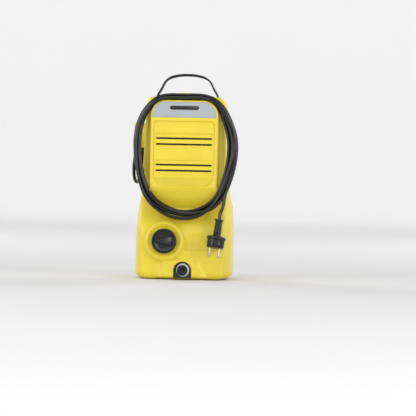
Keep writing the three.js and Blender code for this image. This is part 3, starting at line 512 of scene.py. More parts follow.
GROUPS = {}


def group(name):
    if name not in GROUPS:
        GROUPS[name] = {
            "moulded_grain": moulded_grain, "mottled_tone": mottled_tone,
            "rub_marks": rub_marks, "rub_sheen_and_dirt_shade": rub_sheen_and_dirt_shade, "tool_lines": tool_lines,
        }[name]()
    return GROUPS[name]


def use_group(tree, name, **values):
    node = tree.nodes.new("ShaderNodeGroup")
    node.node_tree = group(name)
    for key, value in values.items():
        label = key.replace("_", " ").title()
        node.inputs[label].default_value = (*value[:3], 1) if hasattr(value, "__len__") else value
    return node


def scaled(colour, factor):
    return tuple(min(1.0, c * factor) for c in colour)


MATERIALS = {}


def material_of(name, build):
    """A material made once and then shared."""
    if name not in MATERIALS:
        material = bpy.data.materials.new(name)
        material.use_nodes = True
        build(material.node_tree, material.node_tree.nodes["Principled BSDF"])
        MATERIALS[name] = material
    return MATERIALS[name]


def bumped(tree, shader, height, strength, distance):
    bump = add_node(tree, "ShaderNodeBump", {"Strength": strength, "Distance": distance})
    tree.links.new(height, bump.inputs["Height"])
    tree.links.new(bump.outputs["Normal"], shader.inputs["Normal"])


def plastic(name, tone, deep, rough, grain=(1500.0, 0.4, 0.00006), rub_sheen_dirt_shade_tones=None, shine=0.5):
    """Moulded plastic: mottled tone, grain, scuffs and, if asked, rubbed edges with painted
    highlight and dirty creases with painted shade.
    """
    def build(tree, shader):
        colour = use_group(tree, "mottled_tone", tone=tone, deep_tone=deep).outputs["Colour"]
        # Edge tone: rubbing and painted highlight; crease tone: dirt and painted shade.
        if rub_sheen_dirt_shade_tones:
            rub_sheen_dirt_shade_node = use_group(tree, "rub_sheen_and_dirt_shade", edge_tone=rub_sheen_dirt_shade_tones[0], crease_tone=rub_sheen_dirt_shade_tones[1])
            tree.links.new(colour, rub_sheen_dirt_shade_node.inputs["Colour"])
            colour = rub_sheen_dirt_shade_node.outputs["Colour"]
        tree.links.new(colour, shader.inputs["Base Color"])
        marks = use_group(tree, "rub_marks", low=rough[0], high=rough[1])
        tree.links.new(marks.outputs["Roughness"], shader.inputs["Roughness"])
        texture = use_group(tree, "moulded_grain", scale=grain[0], peel=grain[1])
        bumped(tree, shader, texture.outputs["Height"], 0.6, grain[2])
        shader.inputs["IOR"].default_value = 1.5
        shader.inputs["Specular IOR Level"].default_value = shine
    return material_of(name, build)


def metal(name, tone, deep, rough, pitch=900.0, depth=0.00002):
    """Machined or cast metal with faint tool lines."""
    def build(tree, shader):
        colour = use_group(tree, "mottled_tone", tone=tone, deep_tone=deep, scale=60.0)
        tree.links.new(colour.outputs["Colour"], shader.inputs["Base Color"])
        lines = use_group(tree, "tool_lines", pitch=pitch, low=rough[0], high=rough[1])
        tree.links.new(lines.outputs["Roughness"], shader.inputs["Roughness"])
        bumped(tree, shader, lines.outputs["Height"], 0.4, depth)
        shader.inputs["Metallic"].default_value = 1.0
    return material_of(name, build)


# Near black for the creases of black parts: dirt and painted shade.
CREASE_DIRT_AND_SHADE_BLACK = (0.003,) * 3


# Edges a tenth lighter (rubbing and painted highlight), creases darker (dirt and painted shade).
def yellow_shell(colours):
    return plastic("yellow_shell", colours.shell, colours.shell_deep, (0.31, 0.37),
                   (1900.0, 0.6, 0.00004),
                   rub_sheen_dirt_shade_tones=(scaled(colours.shell, 1.1), scaled(colours.shell, 0.62)), shine=0.45)


# Edges three times lighter (rubbing and painted highlight), creases near black (dirt and painted
# shade).
def black_moulding(colours):
    return plastic("black_moulding", colours.black, scaled(colours.black, 0.6), (0.22, 0.36),
                   (2200.0, 0.3, 0.00004), rub_sheen_dirt_shade_tones=(scaled(colours.black, 3.0), CREASE_DIRT_AND_SHADE_BLACK))


# Edges lighter (rubbing and painted highlight), creases near black (dirt and painted shade).
def black_rubber(colours):
    return plastic("black_rubber", colours.rubber, scaled(colours.rubber, 0.6), (0.42, 0.6),
                   (1300.0, 0.5, 0.00008), rub_sheen_dirt_shade_tones=(scaled(colours.rubber, 2.6), CREASE_DIRT_AND_SHADE_BLACK),
                   shine=0.34)


# ---------------------------------------------------------------- housing shape

TOP_EDGE = 366.0
BODY_TOP = 374.0
GROUND_GAP = 1.5
FOOT_ROUND = 14.0
SHOULDER = 148.0
SHOULDER_TOP = 184.0
BLOCK_HALF = 67.5
BLOCK_FOOT = 139.0
BLOCK_TOP = 358.3
BLOCK_CORNER = 30.0
PARTING_Y = 8.0
PARTING_GAP = 0.15
BOSS_FRONT = 74.6
BOSS_RADIUS = 36.6
PLINTH_FRONT = 71.8
PLINTH_TOP = 37.5
VALLEY_DEPTH = 4.0
SHELL_WALL = 2.6
FRONT_WALL = 7.0
KNOB = (-35.0, 77.0)
OUTLET = (2.0, 19.0)
INLET = (44.0, 26.0)
SCREWS = ((-75.5, 34), (75.5, 34), (-67, 322), (67, 322))
SLOT_HALF = 56.0
SLOT_HEIGHT = 3.3
SLOT_LEVELS = (281.8, 270, 229, 217.6)
GRILLE_LEVELS = range(150, 223, 12)


def body_sizes(z):
    """Half width of the front face, of the sides, and the front and back at a height."""
    rise = np.clip((z - 155) / (TOP_EDGE - 155), 0, 1)
    face = 86.5 + (79 - 86.5) * rise
    if z >= SHOULDER:
        swell = 6.8 * max(0.0, (SHOULDER_TOP - z) / (SHOULDER_TOP - SHOULDER)) ** 1.25
    else:
        swell = 6.8 + 3.2 * math.sin(math.pi / 2 * min((SHOULDER - z) / 70, 1))
    side = face + swell
    slope = ease(z, 90, 158)
    lower = -68.8 + (68.8 - 47) * slope
    return face, side, lower + (-43 - lower) * rise, 68 - 8 * rise


def body_ring(z, face, side, front, back, counts):
    """Plan outline of the housing: crowned front, tight corners, swelling sides, round back."""
    n_front, n_corner, n_side, n_rear, n_back = counts
    corner = min(9.0, face / 2)
    round_back = min(18.0, side / 2, (back - front) / 3)
    flat = face - corner
    half = []
    for i in range(1, n_front + 1):
        share = i / n_front
        half.append((flat * share, front + 3 * share * share))
    half += [(flat + corner * math.sin(t), front + 3 + corner * (1 - math.cos(t)))
             for t in np.linspace(0, math.pi / 2, n_corner + 1)[1:]]
    start = front + 3 + corner
    set_back = min(start + 42, back - round_back - 1)
    groove = 0.7
    ys = list(np.linspace(start, PARTING_Y - groove, n_side + 1)[1:])
    ys += [PARTING_Y - PARTING_GAP, PARTING_Y + PARTING_GAP]
    ys += list(np.linspace(PARTING_Y + groove, back - round_back, n_rear + 1))
    for y in ys:
        share = min(max((y - start) / (set_back - start), 0), 1)
        notch = 0.55 if abs(y - PARTING_Y) < 0.3 else 0
        half.append((face + (side - face) * (1 - (1 - share) ** 2.5) - notch, y))
    half += [(side - round_back * (1 - math.cos(t)), back - round_back * (1 - math.sin(t)))
             for t in np.linspace(0, math.pi / 2, 8)[1:]]
    edge = side - round_back
    half += [(edge * (1 - i / n_back), back) for i in range(1, n_back)]
    ring = [(0, front)] + half + [(0, back)] + [(-x, y) for x, y in half[::-1]]
    return [(x, y, z) for x, y in ring]


def front_relief(points):
    """Raises the knob's boss and the outlet's plinth on the front and hollows the valley."""
    x, y, z = points[..., 0], points[..., 1], points[..., 2]
    height = -y
    base = height.copy()
    radius = np.hypot(x - KNOB[0], z - KNOB[1])
    boss = blend_under(np.full_like(radius, BOSS_FRONT),
                       BOSS_FRONT + 0.2 - (radius - BOSS_RADIUS) * 1.15, 3.0)
    valley = ease(x, -6, 6) * (1 - ease(x, 58, 74)) * ease(z, 57.5, 61) * (1 - ease(z, 66, 120))
    height = height - VALLEY_DEPTH * valley
    height = np.where(boss > 40, blend_over(height, boss, 5.0), height)
    left = -46 + (z - 6) * (10 / 30.6)
    right = 48 - (z - 6) * (16 / 30.6)
    inside = np.minimum(np.minimum(x - left, right - x) * 0.9, PLINTH_TOP - z)
    plinth = blend_under(np.full_like(inside, PLINTH_FRONT), 67.0 + (inside + 3) * 1.1, 2.0)
    plinth = plinth - 3.0 * np.maximum(0, 6 - z)
    height = np.where((plinth > 60) & (z < 46), blend_over(height, plinth, 2.5), height)
    facing = (y < -50) & (z < 140) & (z > 2.0)
    points[..., 1] = -np.where(facing, height, base)
    return points


def body_solid(name, inset, front_inset, counts, level_step, relief=None):
    """The closed outer or inner body, from its underside to its crown."""
    floor, ceiling = GROUND_GAP + inset, BODY_TOP - inset
    rings = []

    def add(z, across, deep):
        face, side, front, back = body_sizes(z)
        rings.append(body_ring(
            min(max(z, floor), ceiling), max(face - across, 3), max(side - across, 3),
            front + (deep - inset + front_inset), back - deep, counts))

    low = FOOT_ROUND - inset
    for turn in np.linspace(0, math.pi / 2, 9):
        tuck = low * (1 - math.sin(turn))
        add(floor + low * (1 - math.cos(turn)), inset + tuck, inset + tuck * 0.7)
    top_start = TOP_EDGE - inset - 15
    levels = list(np.arange(floor + low + level_step, SHOULDER - 2.2, level_step))
    levels += [SHOULDER - 1.0, SHOULDER, SHOULDER + 1.0]
    levels += list(np.arange(SHOULDER + 3, SHOULDER_TOP, level_step * 1.2))
    levels += list(np.arange(SHOULDER_TOP, top_start, max(level_step * 1.8, 3.4)))
    for z in levels:
        add(z, inset, inset)
    for turn in np.linspace(0, math.pi / 2, 8):
        tuck = 15 * (1 - math.cos(turn))
        add(top_start + 15 * math.sin(turn), inset + tuck, inset + tuck * 0.5)
    for share in (0.93, 0.85, 0.76, 0.66, 0.55, 0.44, 0.33, 0.22, 0.12, 0.04):
        z = TOP_EDGE - inset + 8 * (1 - share * share)
        face, side, front, back = body_sizes(TOP_EDGE)
        deep = inset + 7.5 + 3 * (1 - share)
        rings.append(body_ring(z, 64 * share, 64 * share, front + deep, back - deep, counts))
    rings = np.array(rings)
    if relief is not None:
        rings = relief(rings)
    return grid_loft(name, rings)


def arch(margin, foot):
    """Outline of the block's front, with round shoulders and round corners at its foot."""
    half = BLOCK_HALF - margin
    radius = low = BLOCK_CORNER - margin
    spring = BLOCK_TOP - BLOCK_CORNER
    points = arc((half - low, foot + low), low, -90, 0, 6)
    points += [(half, foot + low + (spring - foot - low) * s) for s in (0.3, 0.6)]
    points += arc((half - radius, spring), radius, 0, 90, 9)
    points += [(0, spring + radius)]
    points += arc((radius - half, spring), radius, 90, 180, 9)
    points += [(-half, foot + low + (spring - foot - low) * s) for s in (0.6, 0.3)]
    points += arc((low - half, foot + low), low, 180, 270, 6)
    return points


def bisect(piece, point, normal):
    """Takes away what lies beyond a plane and closes the cut."""
    edit_all(piece)
    bpy.ops.mesh.bisect(plane_co=point, plane_no=normal, use_fill=True, clear_outer=True)
    close_edit()
    return piece


def front_block():
    """The raised block that the lead is wound round, with its foot cut back in two slopes."""
    rings = []
    for margin, y in ((-1.6, -34), (-0.8, -52)):
        rings.append(facing(arch(margin, BLOCK_FOOT + margin), y))
    for turn in np.linspace(0, math.pi / 2, 7):
        margin, y = 3.4 * (1 - math.cos(turn)), BLOCK_FRONT + 3.4 * (1 - math.sin(turn))
        rings.append(facing(arch(margin, BLOCK_FOOT + margin), y))
    rings.append(facing(arch(4.0, BLOCK_FOOT + 4.0), BLOCK_FRONT))
    block = grid_loft("block", rings)
    for height, depth, lean in ((187.5, 0, 9), (183.5, 0.7, 19), (178, 2.7, 27)):
        slope = math.radians(lean)
        bisect(block, at(0, BLOCK_FRONT + depth, height),
               Vector((0, -math.cos(slope), -math.sin(slope))))
    return tidy(block)


def rounded(half, low, high, foot_corner, corner, foot_steps):
    """Outline of a field with round corners, those at its foot of their own size."""
    outline = arc((half - foot_corner, low + foot_corner), foot_corner, -90, 0, foot_steps)
    outline += arc((half - corner, high - corner), corner, 0, 90, 5)
    outline += arc((corner - half, high - corner), corner, 90, 180, 5)
    return outline + arc((foot_corner - half, low + foot_corner), foot_corner, 180, 270,
                         foot_steps)


def tray(name, half, low, high, depth, corner, foot_corner=None, front=BLOCK_FRONT):
    """A shallow rounded recess with sloping sides, as a cutter."""
    foot_corner = foot_corner or corner
    rings = [facing(rounded(half + grow, low - grow, high + grow, foot_corner + grow,
                            corner + grow, 9), y)
             for grow, y in ((2.2, front - 1.2 * depth), (0, front + depth))]
    return grid_loft(name, rings)


def vent_slot(level):
    """A long slot with round ends and a softened mouth, as a cutter."""
    reach = SLOT_HALF - SLOT_HEIGHT / 2
    rings = []
    for grow, y in ((2.1, -69.2), (0.9, -67.2), (0.25, -66.25), (0, -65.6), (0, -60)):
        radius = SLOT_HEIGHT / 2 + grow * 0.6
        rings.append(facing(arc((reach, level), radius, -90, 90, 8)
                            + arc((-reach, level), radius, 90, 270, 8), y))
    return grid_loft("slot", rings)


def grille_seat():
    """Shallow rounded field round the rear grille, following the slope of the back."""
    rings = [[(x, body_sizes(z)[3] + lift, z)
              for x, z in rounded(44 + grow, 141 - grow, 231 + grow, 6 + grow, 6 + grow, 5)]
             for grow, lift in ((1.6, 4.0), (1.2, 0.4), (0.5, -0.5), (0, -1.0))]
    return grid_loft("grille_seat", rings)


def outlet_arch(margin):
    """D-shaped outline of the hose outlet."""
    radius = 17.6 + margin
    return ([(OUTLET[0] + radius, 4 - margin)] + arc(OUTLET, radius, 0, 180, 24)
            + [(OUTLET[0] - radius, 4 - margin)])


def housing_cutters():
    """The fields let into the front of the block."""
    return [
        tray("panel_seat", 60.5, 186.5, 316, 2.0, 6.0, 24.0),
        tray("upper_band", 57.4, 262.5, 291.5, 1.0, 3.0, front=-68.0),
        tray("lower_band", 57.4, 209, 238, 1.0, 3.0, front=-68.0),
        tray("step_band", 57.4, 305.5, 314.0, 0.6, 2.0, front=-68.0),
    ]


def knob_dish():
    return spun("dish", [(0, -96), (38, -96), (36.2, -75.4), (35.2, -74.5), (33.6, -73.9),
                         (31, -72.8), (28.4, -71.6), (27.2, -71.1), (26, -70.8), (0, -70.8)],
                at(KNOB[0], 0, KNOB[1]), steps=72)


def strap_slot(side):
    x = side * 59.5
    return block_box("strap_slot", (x - 6.1, -5, 345), (x + 6.1, 21, 380), 2.0)


def build_housing():
    """Front and rear shells, joined, cut and then parted."""
    step = bpy.context.scene.washer_sizes.front_step / MM
    n_front = int(round(78 / step))
    body = body_solid("body", 0, 0, (n_front, 7, 16, 9, 16), step * 1.25, front_relief)
    combine(body, front_block(), "UNION")
    for cutter in housing_cutters():
        combine(body, cutter, "DIFFERENCE")
    seat = extruded("plate_seat", plate_outline(3.3), BLOCK_FRONT - 5, BLOCK_FRONT + 1.4)
    combine(body, seat, "DIFFERENCE")
    combine(body, knob_dish(), "DIFFERENCE")
    combine(body, extruded("outlet_hole", outlet_arch(0.3), -85, -57.8), "DIFFERENCE")
    inside = body_solid("inside", SHELL_WALL, FRONT_WALL, (14, 3, 6, 5, 6), 9.0)
    hollow = [facing(arch(2.8, 176), y) for y in (-65.2, -29)]
    combine(inside, grid_loft("block_hollow", hollow), "UNION")
    for level in SLOT_LEVELS:
        combine(body, vent_slot(level), "DIFFERENCE")
    combine(body, grille_seat(), "DIFFERENCE")
    combine(body, inside, "DIFFERENCE")
    for level in GRILLE_LEVELS:
        slot = block_box("grille_slot", (-36, 50, level - 1.6), (36, 90, level + 1.6), 1.2)
        combine(body, slot, "DIFFERENCE")
    for side in (-1, 1):
        combine(body, strap_slot(side), "DIFFERENCE")
    boss = spun("inlet_boss", [(0, 58), (22, 58), (21.5, 66), (19.5, 70.2), (18, 71), (0, 71)],
                at(INLET[0], 0, INLET[1]), steps=56)
    combine(body, boss, "UNION")
    hole = spun("inlet_hole", [(0, 50), (13.9, 50), (13.9, 69.6), (14.8, 70.6), (15, 80), (0, 80)],
                at(INLET[0], 0, INLET[1]), steps=56)
    combine(body, hole, "DIFFERENCE")
    for x, z in SCREWS:
        mouth = spun("mouth", [(0, 26.9), (4.1, 26.9), (4.1, 120), (0, 120)], at(x, 0, z),
                     steps=28)
        combine(body, mouth, "DIFFERENCE")
    shells = []
    for name, low, high in (("front_shell", -150, PARTING_Y - PARTING_GAP),
                            ("rear_shell", PARTING_Y + PARTING_GAP, 150)):
        shell = body.copy()
        shell.data = body.data.copy()
        shell.name = shell.data.name = name
        bpy.context.scene.collection.objects.link(shell)
        combine(shell, block_box("half", (-200, low, -20), (200, high, 420)), "INTERSECT")
        shells.append(shell)
    bpy.data.objects.remove(body)
    return shells


def plate_outline(margin):
    """The badge plate fills the arch of the block above its foot line."""
    half = BLOCK_HALF - margin
    radius = BLOCK_CORNER - margin
    spring = BLOCK_TOP - BLOCK_CORNER
    foot = 323.6 + (margin - 3.6)
    points = [(half, foot)] + arc((half - radius, spring), radius, 0, 90, 14)
    points += arc((radius - half, spring), radius, 90, 180, 14) + [(-half, foot)]
    return points


# ---------------------------------------------------------------- the lead's route

LEAD_IN = [
    (-91, -4, 227.7), (-91.4, -4, 219), (-92.6, -7.5, 206), (-94.4, -17, 196.5),
    (-96.4, -30, 193), (-98.4, -43, 196.5), (-99.8, -52.5, 206), (-100.3, -56, 219),
    (-99.8, -56.9, 232), (-98, -56.4, 246),
]
GLAND_X, GLAND_Y = -91, -4
PIN_REACH = 9.5
PLUG_TOP = Vector((74.5, -80, 122.4))
PLUG_TURN = Euler((math.radians(-9), math.radians(7), 0)).to_matrix()
TAIL = [(82.6, -74.6, 157), (79.4, -77.3, 142)]
COIL_LINE = [
    (-93.5, 258), (-88, 311), (-72, 340), (-46, 358.5), (0, 362.4), (42, 359.8),
    (66.5, 345.5), (82, 321), (94.5, 285), (96.5, 258), (86, 198), (64.5, 156), (36, 137),
    (2, 131.5), (-32, 140), (-62, 160), (-86.5, 210),
]
STATIONS = 36
LAST_PART = 0.43
STRAND_GAP = 0.25
SETTLING_ROUNDS = 260
CALM_FROM = 200

# Places of the strands in the bundle as (outwards, forwards), from the first turn to the
# last, at shares of a turn that starts on the left and runs over the top.
BUNDLE = {
    0.00: [(2.4, -10), (-4.6, -8.4), (-5.2, -1.4), (1.6, -3.3), (3.4, 3.3), (-4.6, 5.2),
           (2.2, 9.9), (6, 10)],
    0.25: [(3.3, -9.9), (-3.3, -9.9), (-3.3, -3.3), (3.3, -3.3), (3.3, 3.3), (-3.3, 3.3),
           (-3.3, 9.9), (3.3, 9.9)],
    0.45: [(3.3, -7), (-4, -6), (-7, 0), (0, -0.5), (11.5, 0), (2.8, 6), (-4, 6.5), (6, 9)],
    0.62: [(2.6, -8), (-4, -7), (-5.6, -0.5), (1.2, -1.4), (8, -0.5), (1.6, 5.2), (-4.8, 6),
           (6, 9)],
    0.75: [(1.8, -6.6), (-4.8, -6.6), (-4.8, 0), (1.8, 0), (1.8, 6.6), (-4.8, 6.6), (16, 3),
           (16, 6)],
    0.88: [(2.2, -9), (-4.4, -7.5), (-4.6, -0.8), (2.0, -2.4), (2.2, 4.2), (-4.4, 5.8),
           (2.6, 10.8), (6, 10)],
}
SHIFTS = [0.97, 0.90, 0.83, 0.76, 0.69, 0.52, 0.30]


def loop_line():
    """The middle of the wound lead at each station, and the outward direction there."""
    points = np.array([(x, 0, z) for x, z in COIL_LINE * 3], float)
    fine = spline(points, 1.0)
    gaps = np.linalg.norm(np.diff(fine, axis=0), axis=1)
    along = np.concatenate([[0], np.cumsum(gaps)])
    total, count = along[-1], len(COIL_LINE)
    far_from = [np.linalg.norm(fine - points[k * count], axis=1) for k in (1, 2)]
    first = along[np.argmin(far_from[0] + 1e3 * ((along < total * 0.3) | (along > total * 0.6)))]
    last = along[np.argmin(far_from[1] + 1e3 * (along < total * 0.6))]
    reach = first + (last - first) * np.arange(STATIONS) / STATIONS
    line = np.stack([np.interp(reach, along, fine[:, k]) for k in range(3)], axis=1)
    ahead = np.stack([np.interp(reach + 2, along, fine[:, k]) for k in range(3)], axis=1)
    tangent = ahead - line
    outward = np.stack([-tangent[:, 2], np.zeros(STATIONS), tangent[:, 0]], axis=1)
    outward /= np.linalg.norm(outward, axis=1)[:, None]
    return line, outward


def bundle_place(station, place):
    """Where a place of the bundle lies at a station, between the four given sections."""
    marks = sorted(BUNDLE) + [1.0]
    for low, high in zip(marks, marks[1:]):
        if low <= station <= high:
            share = ease(station, low, high)
            a = np.array(BUNDLE[low][place])
            b = np.array(BUNDLE[high % 1.0][place])
            return a + (b - a) * share
    return np.array(BUNDLE[0.0][place])


def wound_lead(turns, diameter):
    """The coiled part: strands laid side by side, pushed clear of each other and the block."""
    line, outward = loop_line()
    total = turns * STATIONS + int(LAST_PART * STATIONS)
    steps = np.arange(1, total + 1)
    stations = steps % STATIONS
    aim = np.zeros((total, 2))
    for row, step in enumerate(steps):
        turn, station = divmod(step, STATIONS)
        share = station / STATIONS
        place = min(turn, 6)
        moved = float(ease(share, SHIFTS[place] - 0.05, SHIFTS[place] + 0.05))
        aim[row] = (bundle_place(share, place) * (1 - moved)
                    + bundle_place(share, min(place + 1, 7)) * moved)
    random = np.random.default_rng(11)
    knots = random.normal(0, 1.1, (total // 7 + 3, 2))
    for axis in range(2):
        aim[:, axis] += np.interp(np.arange(total), np.arange(len(knots)) * 7, knots[:, axis])
    spot = aim.copy()
    gap = diameter + STRAND_GAP
    for settling in range(SETTLING_ROUNDS):
        late = settling > CALM_FROM
        spot += (aim - spot) * (0.01 if late else 0.06)
        bend = np.zeros_like(spot)
        bend[1:-1] = (spot[2:] + spot[:-2]) / 2 - spot[1:-1]
        spot += bend * (0.12 if late else 0.2)
        for apart in range(1, turns + 1):
            near = np.arange(0, total - apart * STATIONS)
            far = near + apart * STATIONS
            between = spot[far] - spot[near]
            distance = np.maximum(np.linalg.norm(between, axis=1), 1e-3)
            push = np.maximum(gap - distance, 0)[:, None] * between / distance[:, None] * 0.5
            spot[far] += push
            spot[near] -= push
        x = line[stations, 0] + outward[stations, 0] * spot[:, 0]
        z = line[stations, 2] + outward[stations, 2] * spot[:, 0]
        over = np.stack([np.abs(x) - (BLOCK_HALF - BLOCK_CORNER), z - (BLOCK_TOP - BLOCK_CORNER)])
        away = np.where(over[1] > 0, np.linalg.norm(np.maximum(over, 0), axis=0) - BLOCK_CORNER,
                        np.abs(x) - BLOCK_HALF)
        spot[:, 0] += np.where(z > 186, np.maximum(diameter / 2 + 0.15 - away, 0), 0)
        depth = coil_depth(z) - spot[:, 1]
        skin = np.array([body_sizes(h)[2] for h in z]) - diameter / 2 - 0.5
        spot[:, 1] += np.maximum(depth - skin, 0)
    x = line[stations, 0] + outward[stations, 0] * spot[:, 0]
    z = line[stations, 2] + outward[stations, 2] * spot[:, 0]
    return np.stack([x, coil_depth(z) - spot[:, 1], z], axis=1)


def coil_depth(z):
    """How far forward the middle of the wound lead lies at a height."""
    return -73.5 + 15.0 * np.clip((z - 133) / (367 - 133), 0, 1)


def lead_route(turns, diameter):
    """The whole lead, from the strain relief round the block to the plug, in mm."""
    axis = PLUG_TURN @ Vector((0, 0, 1))
    tail = TAIL + [tuple(PLUG_TOP + axis * 12), tuple(PLUG_TOP + axis * 5),
                   tuple(PLUG_TOP - axis * 2)]
    coil = [tuple(p) for p in wound_lead(turns, diameter)]
    return spline(LEAD_IN + coil + tail, 4.0)


# ---------------------------------------------------------------- operators

LIGHT_AIM = Vector((0, 0, 0.2))
# Name, place, width and height in metres, and power in watts.
STUDIO_LIGHTS = (
    ("front_light", (-0.6, -3.3, 1.5), (2.2, 0.8), 9),
    ("front_strip_light", (0.74, -3.45, 0.6), (0.5, 1.3), 8),
    ("front_left_light", (-2.3, -2.2, 1.1), (0.8, 2.2), 28),
    ("front_right_light", (2.5, -1.9, 0.95), (0.6, 2.2), 32),
    ("rear_right_light", (1.9, 2.3, 1.6), (0.9, 2.0), 24),
    ("rear_left_light", (-2.1, 1.9, 1.5), (0.9, 2.0), 24),
    ("top_light", (-0.2, -0.9, 2.8), (1.8, 1.4), 17),
)
CAMERA_ANGLES = (4, 1.0, 1.2)
CAMERA_AIM = (46, 0, 143.4)
CAMERA_DISTANCE = 4.67


class WASHER_OT_studio(bpy.types.Operator):
    """Pale floor with a soft sweep, studio lights and the camera."""

    bl_idname = "washer.studio"
    bl_label = "Studio"

    def execute(self, context):
        colours = context.scene.washer_colours
        sweep = [(8000 + 4000 * math.sin(t), 4000 - 4000 * math.cos(t))
                 for t in np.linspace(0, math.pi / 2, 16)]
        floor = spun("studio_floor", [(0, 0), (600, 0), (2000, 0), (5000, 0)] + sweep + [
            (12000, 6500), (12100, 6500), (12100, -100), (0, -100)], Vector((0, 0, 0)),
            (0, 0, 1), 128)

        def build(tree, shader):
            tone = use_group(tree, "mottled_tone", tone=colours.floor,
                             deep_tone=scaled(colours.floor, 0.985), scale=3.0)
            tree.links.new(tone.outputs["Colour"], shader.inputs["Base Color"])
            marks = use_group(tree, "rub_marks", low=0.75, high=0.85)
            tree.links.new(marks.outputs["Roughness"], shader.inputs["Roughness"])
            far = add_node(tree, "ShaderNodeVectorMath", operation="LENGTH")
            tree.links.new(object_place(tree), far.inputs[0])
            lift = ranged(tree, far.outputs["Value"], 0.7, 5.4, 0.0, 1.0)
            glow = mixed(tree, lift, (0, 0, 0), (1, 1, 1.01))
            tree.links.new(glow, shader.inputs["Emission Color"])
            shader.inputs["Emission Strength"].default_value = BACKDROP_GLOW
            shader.inputs["Specular IOR Level"].default_value = 0.1
        floor.data.materials.append(material_of("studio_paper", build))
        smooth(floor, 40)

        world = bpy.data.worlds.new("studio_world")
        context.scene.world = world
        world.use_nodes = True
        world.node_tree.nodes["Background"].inputs["Color"].default_value = (1, 1, 1, 1)
        world.node_tree.nodes["Background"].inputs["Strength"].default_value = SKY_GLOW
        for name, place, size, power in STUDIO_LIGHTS:
            lamp = bpy.data.lights.new(name, "AREA")
            lamp.shape, lamp.size, lamp.size_y, lamp.energy = "RECTANGLE", *size, power
            holder = bpy.data.objects.new(name, lamp)
            context.scene.collection.objects.link(holder)
            holder.location = place
            holder.rotation_mode = "QUATERNION"
            holder.rotation_quaternion = (LIGHT_AIM - Vector(place)).to_track_quat("-Z", "Y")

        lens = bpy.data.cameras.new("camera")
        lens.lens, lens.sensor_width = 200, 36
        lens.clip_end = 100
        camera = bpy.data.objects.new("camera", lens)
        context.scene.collection.objects.link(camera)
        azimuth, elevation, roll = map(math.radians, CAMERA_ANGLES)
        back = Vector((math.sin(azimuth) * math.cos(elevation),
                       -math.cos(azimuth) * math.cos(elevation), math.sin(elevation)))
        camera.rotation_mode = "QUATERNION"
        camera.location = at(*CAMERA_AIM) + back * CAMERA_DISTANCE
        camera.rotation_quaternion = ((-back).to_track_quat("-Z", "Y")
                                      @ Euler((0, 0, roll)).to_quaternion())
        context.scene.camera = camera
        context.scene.view_settings.view_transform = "Standard"
        return {"FINISHED"}


class WASHER_OT_lead(bpy.types.Operator):
    """Mains lead: out of the strain relief, round the block and down to the plug."""

    bl_idname = "washer.lead"
    bl_label = "Mains Lead"

    def execute(self, context):
        sizes = context.scene.washer_sizes
        colours = context.scene.washer_colours
        diameter = sizes.cord_diameter
        route = lead_route(sizes.cord_turns, diameter / MM)
        curve = bpy.data.curves.new("power_cord", "CURVE")
        curve.dimensions = "3D"
        curve.bevel_depth = diameter / 2
        curve.bevel_resolution = 4
        curve.use_fill_caps = True
        run = curve.splines.new("POLY")
        run.points.add(len(route) - 1)
        for point, place in zip(run.points, route):
            point.co = (*at(*place), 1)
        run.use_smooth = True
        cord = bpy.data.objects.new("power_cord", curve)
        context.scene.collection.objects.link(cord)
        jacket = plastic("cord_jacket", colours.jacket, scaled(colours.jacket, 0.6),
                         (0.1, 0.2), (1700.0, 0.5, 0.00001), shine=0.5)
        curve.materials.append(jacket)
        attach(cord, "housing")
        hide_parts("cord_lead", "cord_coil", "cord_tail")
        return {"FINISHED"}


class WASHER_OT_gland(bpy.types.Operator):
    """Ribbed strain relief on the left side."""

    bl_idname = "washer.gland"
    bl_label = "Strain Relief"

    def execute(self, context):
        profile = [(0, 228.4), (3.55, 228.2), (4.4, 228.9)]
        for rib in range(6):
            z = 230.5 + rib * 3.7
            grow = rib * 0.36
            profile += [(4.6 + grow, z - 0.9), (5.1 + grow, z), (5.1 + grow, z + 1.2),
                        (4.1 + grow, z + 1.8), (4.1 + grow, z + 2.6)]
        profile += [(6.7, 253), (7.1, 254.5), (7.1, 258.5), (6.4, 261), (5, 262), (0, 262.2)]
        sleeve = spun("cord_gland_sleeve", profile, at(GLAND_X, GLAND_Y, 0), (0, 0, 1), 32)
        collar = spun("collar", [(0, -91), (5.2, -91), (6, -89.6), (6, -73), (0, -73)],
                      at(0, GLAND_Y, 256), (1, 0, 0), 32)
        flange = spun("flange", [(0, -85.4), (8.2, -85.4), (8.8, -84.8), (8.8, -82), (0, -82)],
                      at(0, GLAND_Y, 256), (1, 0, 0), 36)
        gland = joined("strain_relief", [sleeve, collar, flange])
        hand_over(gland, 40, black_rubber(context.scene.washer_colours), "black_rubber",
                  "cord_gland")
        return {"FINISHED"}


def in_plug(piece):
    """Moves a mesh made about the plug's own axis to where the plug hangs."""
    turn = PLUG_TURN.to_4x4()
    home = Matrix.Translation(at(*PLUG_TOP)) @ turn @ Matrix.Translation(-at(0, 0, 0))
    piece.data.transform(home)
    return piece


